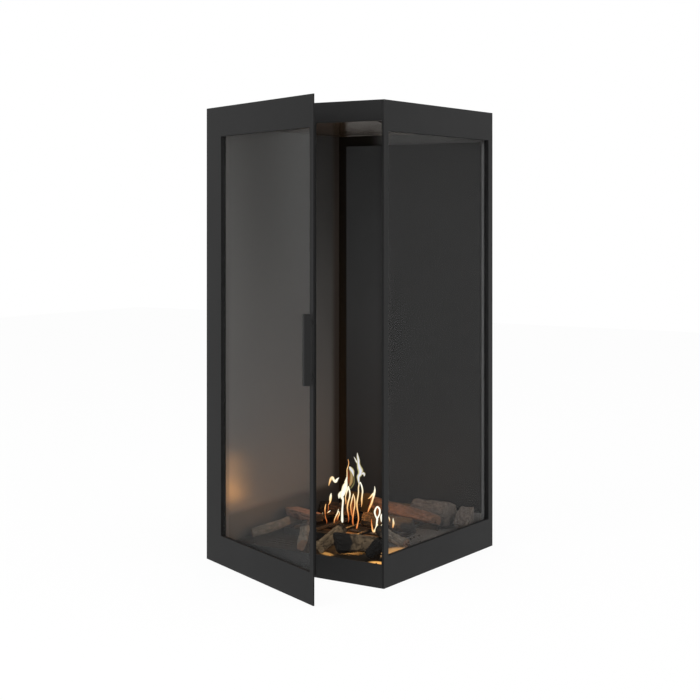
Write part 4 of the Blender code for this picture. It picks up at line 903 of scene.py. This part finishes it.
def crumbTree():
    tree, keys, add, source = newTree("crumbScatter", crumbInputs)
    cloud = add("GeometryNodeMeshToPoints", {"Mesh": source["Geometry"]})
    lump = add("GeometryNodeMeshIcoSphere", {"Radius": 1.0, "Subdivisions": crumb["detail"]})
    turn = add("FunctionNodeRandomValue", {1: (math.tau, math.tau, math.tau), 8: source["Seed"]},
               data_type="FLOAT_VECTOR")
    shape = add("FunctionNodeRandomValue", {0: crumb["thin"], 1: crumb["thick"], 8: source["Seed"]},
                data_type="FLOAT_VECTOR")
    size = add("GeometryNodeInputNamedAttribute", {"Name": "size"}, data_type="FLOAT")
    scale = add("ShaderNodeVectorMath", {0: shape, 3: size}, operation="SCALE")
    lumps = add("GeometryNodeInstanceOnPoints", {"Points": cloud, "Instance": lump, "Rotation": turn,
                                                "Scale": scale})
    real = add("GeometryNodeRealizeInstances", {"Geometry": lumps})
    rough = add("ShaderNodeTexNoise", {"Scale": 260.0, "Detail": 2.0}).node.outputs["Color"]
    centred = add("ShaderNodeVectorMath", {0: rough, 1: (0.5, 0.5, 0.5)}, operation="SUBTRACT")
    shift = add("ShaderNodeVectorMath", {0: centred, 3: source["Uneven"]}, operation="SCALE")
    moved = add("GeometryNodeSetPosition", {"Geometry": real, "Offset": shift})
    done = add("GeometryNodeSetMaterial", {"Geometry": moved, "Material": source["Finish"]})
    add("NodeGroupOutput", {"Geometry": done})
    return tree, keys


def openFloor(x, y, radius):
    # true where the plate is bare under the whole crumb and no log, bar or burner piece is near
    reach = radius + crumb["margin"]
    for name in nodes:
        if name.startswith(("log_", "grate_", "burner_", "damper_")):
            low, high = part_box(name)
            if low.x - reach < x < high.x + reach and low.y - reach < y < high.y + reach:
                return False
    for dx, dy in ((0, 0), (radius, 0), (-radius, 0), (0, radius), (0, -radius)):
        start = Vector((x + dx, y + dy, crumb["top"] + 0.01))
        hit, place, _, _ = nodes["floor_plate"].ray_cast(start, Vector((0.0, 0.0, -1.0)))
        if not hit or abs(place.z - crumb["top"]) > 0.0005:
            return False
    return True


def scatterCrumbs(name, crumbs, tree, keys, finish):
    places = [(x, y, crumb["top"] + size * crumb["sunk"]) for x, y, size in crumbs]
    values = {"Uneven": crumb["uneven"], "Seed": crumb["seed"], "Finish": finish}
    layer = ("size", "FLOAT", [size for _, _, size in crumbs])
    setOut(name, places, layer, tree, keys, values, finish, "body")


def crumbMaterial():
    board, spot = newBoard("crumbCharFinish")
    flake = board.noise(spot, 420.0, 4.0, 0.6)
    colour = board.mix(flake.ramp(0.45, 0.7), crumb["char"], crumb["ash"])
    return board.set(colour=colour, rough=0.85 + (flake - 0.5) * 0.2, specular=0.2,
                     normal=board.bump(flake, 0.0006, 0.8))


def emberMaterial():
    board, spot = newBoard("emberFinish")
    crust = board.noise(spot, 380.0, 4.0, 0.65)
    glow = board.colours(crust.ramp(0.40, 0.66), [(0.0, (0.02, 0.004, 0.001)), (0.45, (0.60, 0.13, 0.02)),
                                                  (0.8, (1.0, 0.50, 0.12)), (1.0, (1.0, 0.80, 0.35))])
    board.material.cycles.emission_sampling = "NONE"
    return board.set(colour=crumb["crust"], rough=0.9, specular=0.1, glow=glow, glowStrength=1.2,
                     normal=board.bump(crust, 0.0005, 0.8))


def buildCrumbs():
    chance = random.Random(crumb["seed"])
    tree, keys = crumbTree()
    low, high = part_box("floor_plate")
    cold, live = [], []
    for _ in range(crumb["tries"]):
        size = chance.uniform(crumb["small"], crumb["large"]) * (0.6 if chance.random() < 0.5 else 1.0)
        if len(live) < crumb["embers"]:
            (x, y), _, half, wide, _ = chance.choice(firelightAndEmberPatches)
            x, y = x + chance.uniform(-half, half), y + chance.uniform(-wide, wide)
            group, size = live, size * 0.75
        elif len(cold) < crumb["count"]:
            x, y = chance.uniform(low.x + 0.02, high.x - 0.02), chance.uniform(low.y + 0.008, high.y - 0.02)
            group = cold
        else:
            break
        if openFloor(x, y, size) and all(math.hypot(x - a, y - b) > size + c for a, b, c in cold + live):
            group.append((x, y, size))
    scatterCrumbs("char_crumbs", cold, tree, keys, crumbMaterial())
    scatterCrumbs("live_embers", live, tree, keys, emberMaterial())
    print("stage: crumbs", len(cold), "embers", len(live))


buildCrumbs()

# countersunk screws, set out by Geometry Nodes; their places are taken from the edges of each piece
screw = {"radius": 0.0032, "height": 0.0011, "taper": 0.82, "socket": 0.0015, "socketDepth": 0.0008,
         "sides": 20, "tone": (0.060, 0.060, 0.062), "rough": 0.34, "count": 6, "foot": 0.06, "head": 0.02,
         "edge": 0.014, "leftFront": 0.024, "backSunk": 0.0004, "leftProud": 0.0002}
ledgeScrew = {"count": 5, "end": 0.03, "inset": 0.0106, "drop": 0.009}
bracketScrew = {"count": 2, "end": 0.004, "inset": 0.005, "sunk": 0.0022}
clipScrew = {"count": 5, "from": -0.16, "to": 0.22, "face": -0.2516, "edge": 0.004}
screwInputs = dict.fromkeys(("Head Radius", "Head Height", "Socket Radius", "Socket Depth"), "Float")


def screwTree(finish):
    tree, keys, add, source = newTree("screwSetter", screwInputs)
    radius, height = source["Head Radius"], source["Head Height"]
    rim = add("ShaderNodeMath", {0: radius, 1: screw["taper"]}, operation="MULTIPLY")
    cone = add("GeometryNodeMeshCone", {"Vertices": screw["sides"], "Radius Top": rim,
                                        "Radius Bottom": radius, "Depth": height}, fill_type="NGON")
    key = add("GeometryNodeMeshCylinder", {"Vertices": 6, "Radius": source["Socket Radius"],
                                           "Depth": source["Socket Depth"]}, fill_type="NGON")
    lift = add("ShaderNodeCombineXYZ", {"Z": height})
    raised = add("GeometryNodeTransform", {"Geometry": key, "Translation": lift})
    bored = add("GeometryNodeMeshBoolean", {"Mesh 1": cone, "Mesh 2": raised}, operation="DIFFERENCE",
                solver="EXACT")
    facing = add("GeometryNodeInputNamedAttribute", {"Name": "facing"}, data_type="FLOAT_VECTOR")
    turn = add("FunctionNodeAlignRotationToVector", {"Vector": facing}, axis="Z")
    cloud = add("GeometryNodeMeshToPoints", {"Mesh": source["Geometry"]})
    heads = add("GeometryNodeInstanceOnPoints", {"Points": cloud, "Instance": bored, "Rotation": turn})
    real = add("GeometryNodeRealizeInstances", {"Geometry": heads})
    done = add("GeometryNodeSetMaterial", {"Geometry": real, "Material": finish})
    add("NodeGroupOutput", {"Geometry": done})
    return tree, keys


def setScrews(name, screws, tree, keys, finish, body):
    values = {"Head Radius": screw["radius"], "Head Height": screw["height"],
              "Socket Radius": screw["socket"], "Socket Depth": screw["socketDepth"] * 2}
    places, ways = zip(*screws)
    setOut(name, places, ("facing", "FLOAT_VECTOR", ways), tree, keys, values, finish, body)


def spread(low, high, count):
    return [low + (high - low) * index / (count - 1) for index in range(count)]


def doorPoint(x, y, z):
    # a point of the closed door, where the door stands at rest
    hinge = frame["joints"][0]
    pivot = Vector(hinge["pos_m"])
    turn = Matrix.Rotation(math.radians(-hinge["range_deg"][0]), 3, Vector(hinge["axis"]))
    return pivot + turn @ (Vector((x, y, z)) - pivot), turn


def buildScrews():
    dark = steelMaterial("screwSteelFinish", screw["tone"], screw["rough"], (1.0, 1.0, 1.0))
    tree, keys = screwTree(dark)
    low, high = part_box("back_casing")
    screws = [((x, high.y - screw["backSunk"], z), (0.0, 1.0, 0.0))
              for z in spread(low.z + screw["foot"], high.z - screw["head"], screw["count"])
              for x in (low.x + screw["edge"], high.x - screw["edge"])]
    low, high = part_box("left_casing")
    screws += [((low.x + screw["leftProud"], y, z), (-1.0, 0.0, 0.0))
               for z in spread(low.z + screw["foot"], high.z - screw["head"], screw["count"])
               for y in (low.y + screw["leftFront"], high.y - screw["edge"])]
    low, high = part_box("side_glass_ledge")
    screws += [((high.x - ledgeScrew["inset"], y, high.z - ledgeScrew["drop"]), (-1.0, 0.0, 0.0))
               for y in spread(low.y + ledgeScrew["end"], high.y - ledgeScrew["end"], ledgeScrew["count"])]
    end = bracketScrew["end"]
    for name in ("hinge_bracket_lower", "hinge_bracket_upper"):
        low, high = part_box(name)
        screws += [((high.x - bracketScrew["inset"], high.y - bracketScrew["sunk"], z), (0.0, -1.0, 0.0))
                   for z in spread(low.z + end, high.z - end, bracketScrew["count"])]
    setScrews("casing_screws", screws, tree, keys, dark, "body")
    screws = []
    top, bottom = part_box("door_clip_top")[1].z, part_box("door_clip_bottom")[0].z
    for z in (top - clipScrew["edge"], bottom + clipScrew["edge"]):
        for x in spread(clipScrew["from"], clipScrew["to"], clipScrew["count"]):
            point, turn = doorPoint(x, clipScrew["face"], z)
            screws.append((point, turn @ Vector((0.0, 1.0, 0.0))))
    setScrews("door_screws", screws, tree, keys, dark, "door")


buildScrews()
print("stage: screws")

# pale studio floor; show is the share of plain white that the camera, mirrors and glass see on it
stage = {"size": 14.0, "drop": 0.0004, "tone": (0.93, 0.93, 0.93), "dust": (0.90, 0.90, 0.90), "show": 0.95}


def buildStage():
    half = stage["size"] / 2
    mesh = bpy.data.meshes.new("paleFloor")
    corners = [(-half, -half), (half, -half), (half, half), (-half, half)]
    mesh.from_pydata([(x, y, -stage["drop"]) for x, y in corners], [], [(0, 1, 2, 3)])
    board, spot = newBoard("paleFloorFinish")
    dust = board.noise(spot, 3.0, 4.0, 0.5)
    board.set(colour=board.mix(dust * 0.3, stage["tone"], stage["dust"]), rough=0.8, specular=0.2)
    ray = board.add("ShaderNodeLightPath")
    shown = ray.out("Is Camera Ray") + ray.out("Is Glossy Ray") + ray.out("Is Transmission Ray")
    white = board.add("ShaderNodeEmission", {}, {"Color": (1.0, 1.0, 1.0), "Strength": 1.0})
    mesh.materials.append(board.cover(shown.ramp(0.0, 1.0) * stage["show"], board.surface, white.out()))
    floor = bpy.data.objects.new("paleFloor", mesh)
    bpy.context.collection.objects.link(floor)


# place, power, width and aim of each soft studio lamp, then place and share of power of the lamps in the fire
studioLamps = {"keyLight": ((-1.2, -3.4, 2.6), 66.0, 2.2, (0.0, 0.0, 0.55)),
               "fillLight": ((3.6, -0.8, 1.8), 34.0, 2.4, (0.0, 0.0, 0.55)),
               "topLight": ((0.4, 0.6, 3.6), 26.0, 2.4, (0.0, 0.0, 0.55)),
               "lowLight": ((0.2, -2.2, 0.25), 7.0, 1.0, (0.05, -0.2, 0.15))}
fireLamps = {"fireFoot": ((-0.004, -0.006, 0.104), 0.45), "fireMid": ((0.004, -0.008, 0.132), 0.32),
             "fireTop": ((0.000, -0.004, 0.180), 0.23)}
lights = {"world": 0.62, "fire": 0.72, "fireSize": 0.018, "fireColour": (1.0, 0.45, 0.115)}


def buildWorld():
    # white where it is seen, and a plain level where it lights
    world = bpy.data.worlds.new("studio")
    bpy.context.scene.world = world
    world.use_nodes = True
    back = world.node_tree.nodes["Background"].inputs
    back["Color"].default_value = (1.0, 1.0, 1.0, 1.0)
    add = treeAdder(world.node_tree)
    ray = add("ShaderNodeLightPath").node.outputs
    seen = add("ShaderNodeMath", {0: ray["Is Camera Ray"], 1: ray["Is Glossy Ray"]}, operation="ADD")
    seen = add("ShaderNodeMath", {0: seen, 1: ray["Is Transmission Ray"]}, operation="ADD", use_clamp=True)
    level = add("ShaderNodeMapRange", {"Value": seen, "To Min": lights["world"], "To Max": 1.0})
    world.node_tree.links.new(level, back["Strength"])


def addLamp(name, kind, place, power):
    data = bpy.data.lights.new(name, kind)
    data.energy = power
    lamp = bpy.data.objects.new(name, data)
    lamp.location = place
    lamp.visible_camera = False
    bpy.context.collection.objects.link(lamp)
    return lamp


def buildLights():
    for name, (place, power, size, aim) in studioLamps.items():
        lamp = addLamp(name, "AREA", place, power)
        lamp.data.size = size
        lamp.rotation_euler = (Vector(aim) - Vector(place)).to_track_quat("-Z", "Y").to_euler()
    for name, (place, share) in fireLamps.items():
        lamp = addLamp(name, "POINT", place, lights["fire"] * share)
        lamp.data.color = lights["fireColour"]
        lamp.data.shadow_soft_size = lights["fireSize"]


def buildCamera():
    data = bpy.data.cameras.new("photoCamera")
    data.lens = view["lens"]
    data.sensor_width = view["sensor"]
    data.shift_y = view["shift"]
    data.clip_end = view["reach"]
    camera = bpy.data.objects.new("photoCamera", data)
    camera.location = view["eye"]
    camera.rotation_euler = (math.pi / 2, 0.0, math.radians(view["turn"]))
    bpy.context.collection.objects.link(camera)
    bpy.context.scene.camera = camera


buildStage()
buildWorld()
buildLights()
buildCamera()
bpy.context.scene.view_settings.view_transform = "Standard"
print("stage: floor, lights and camera")
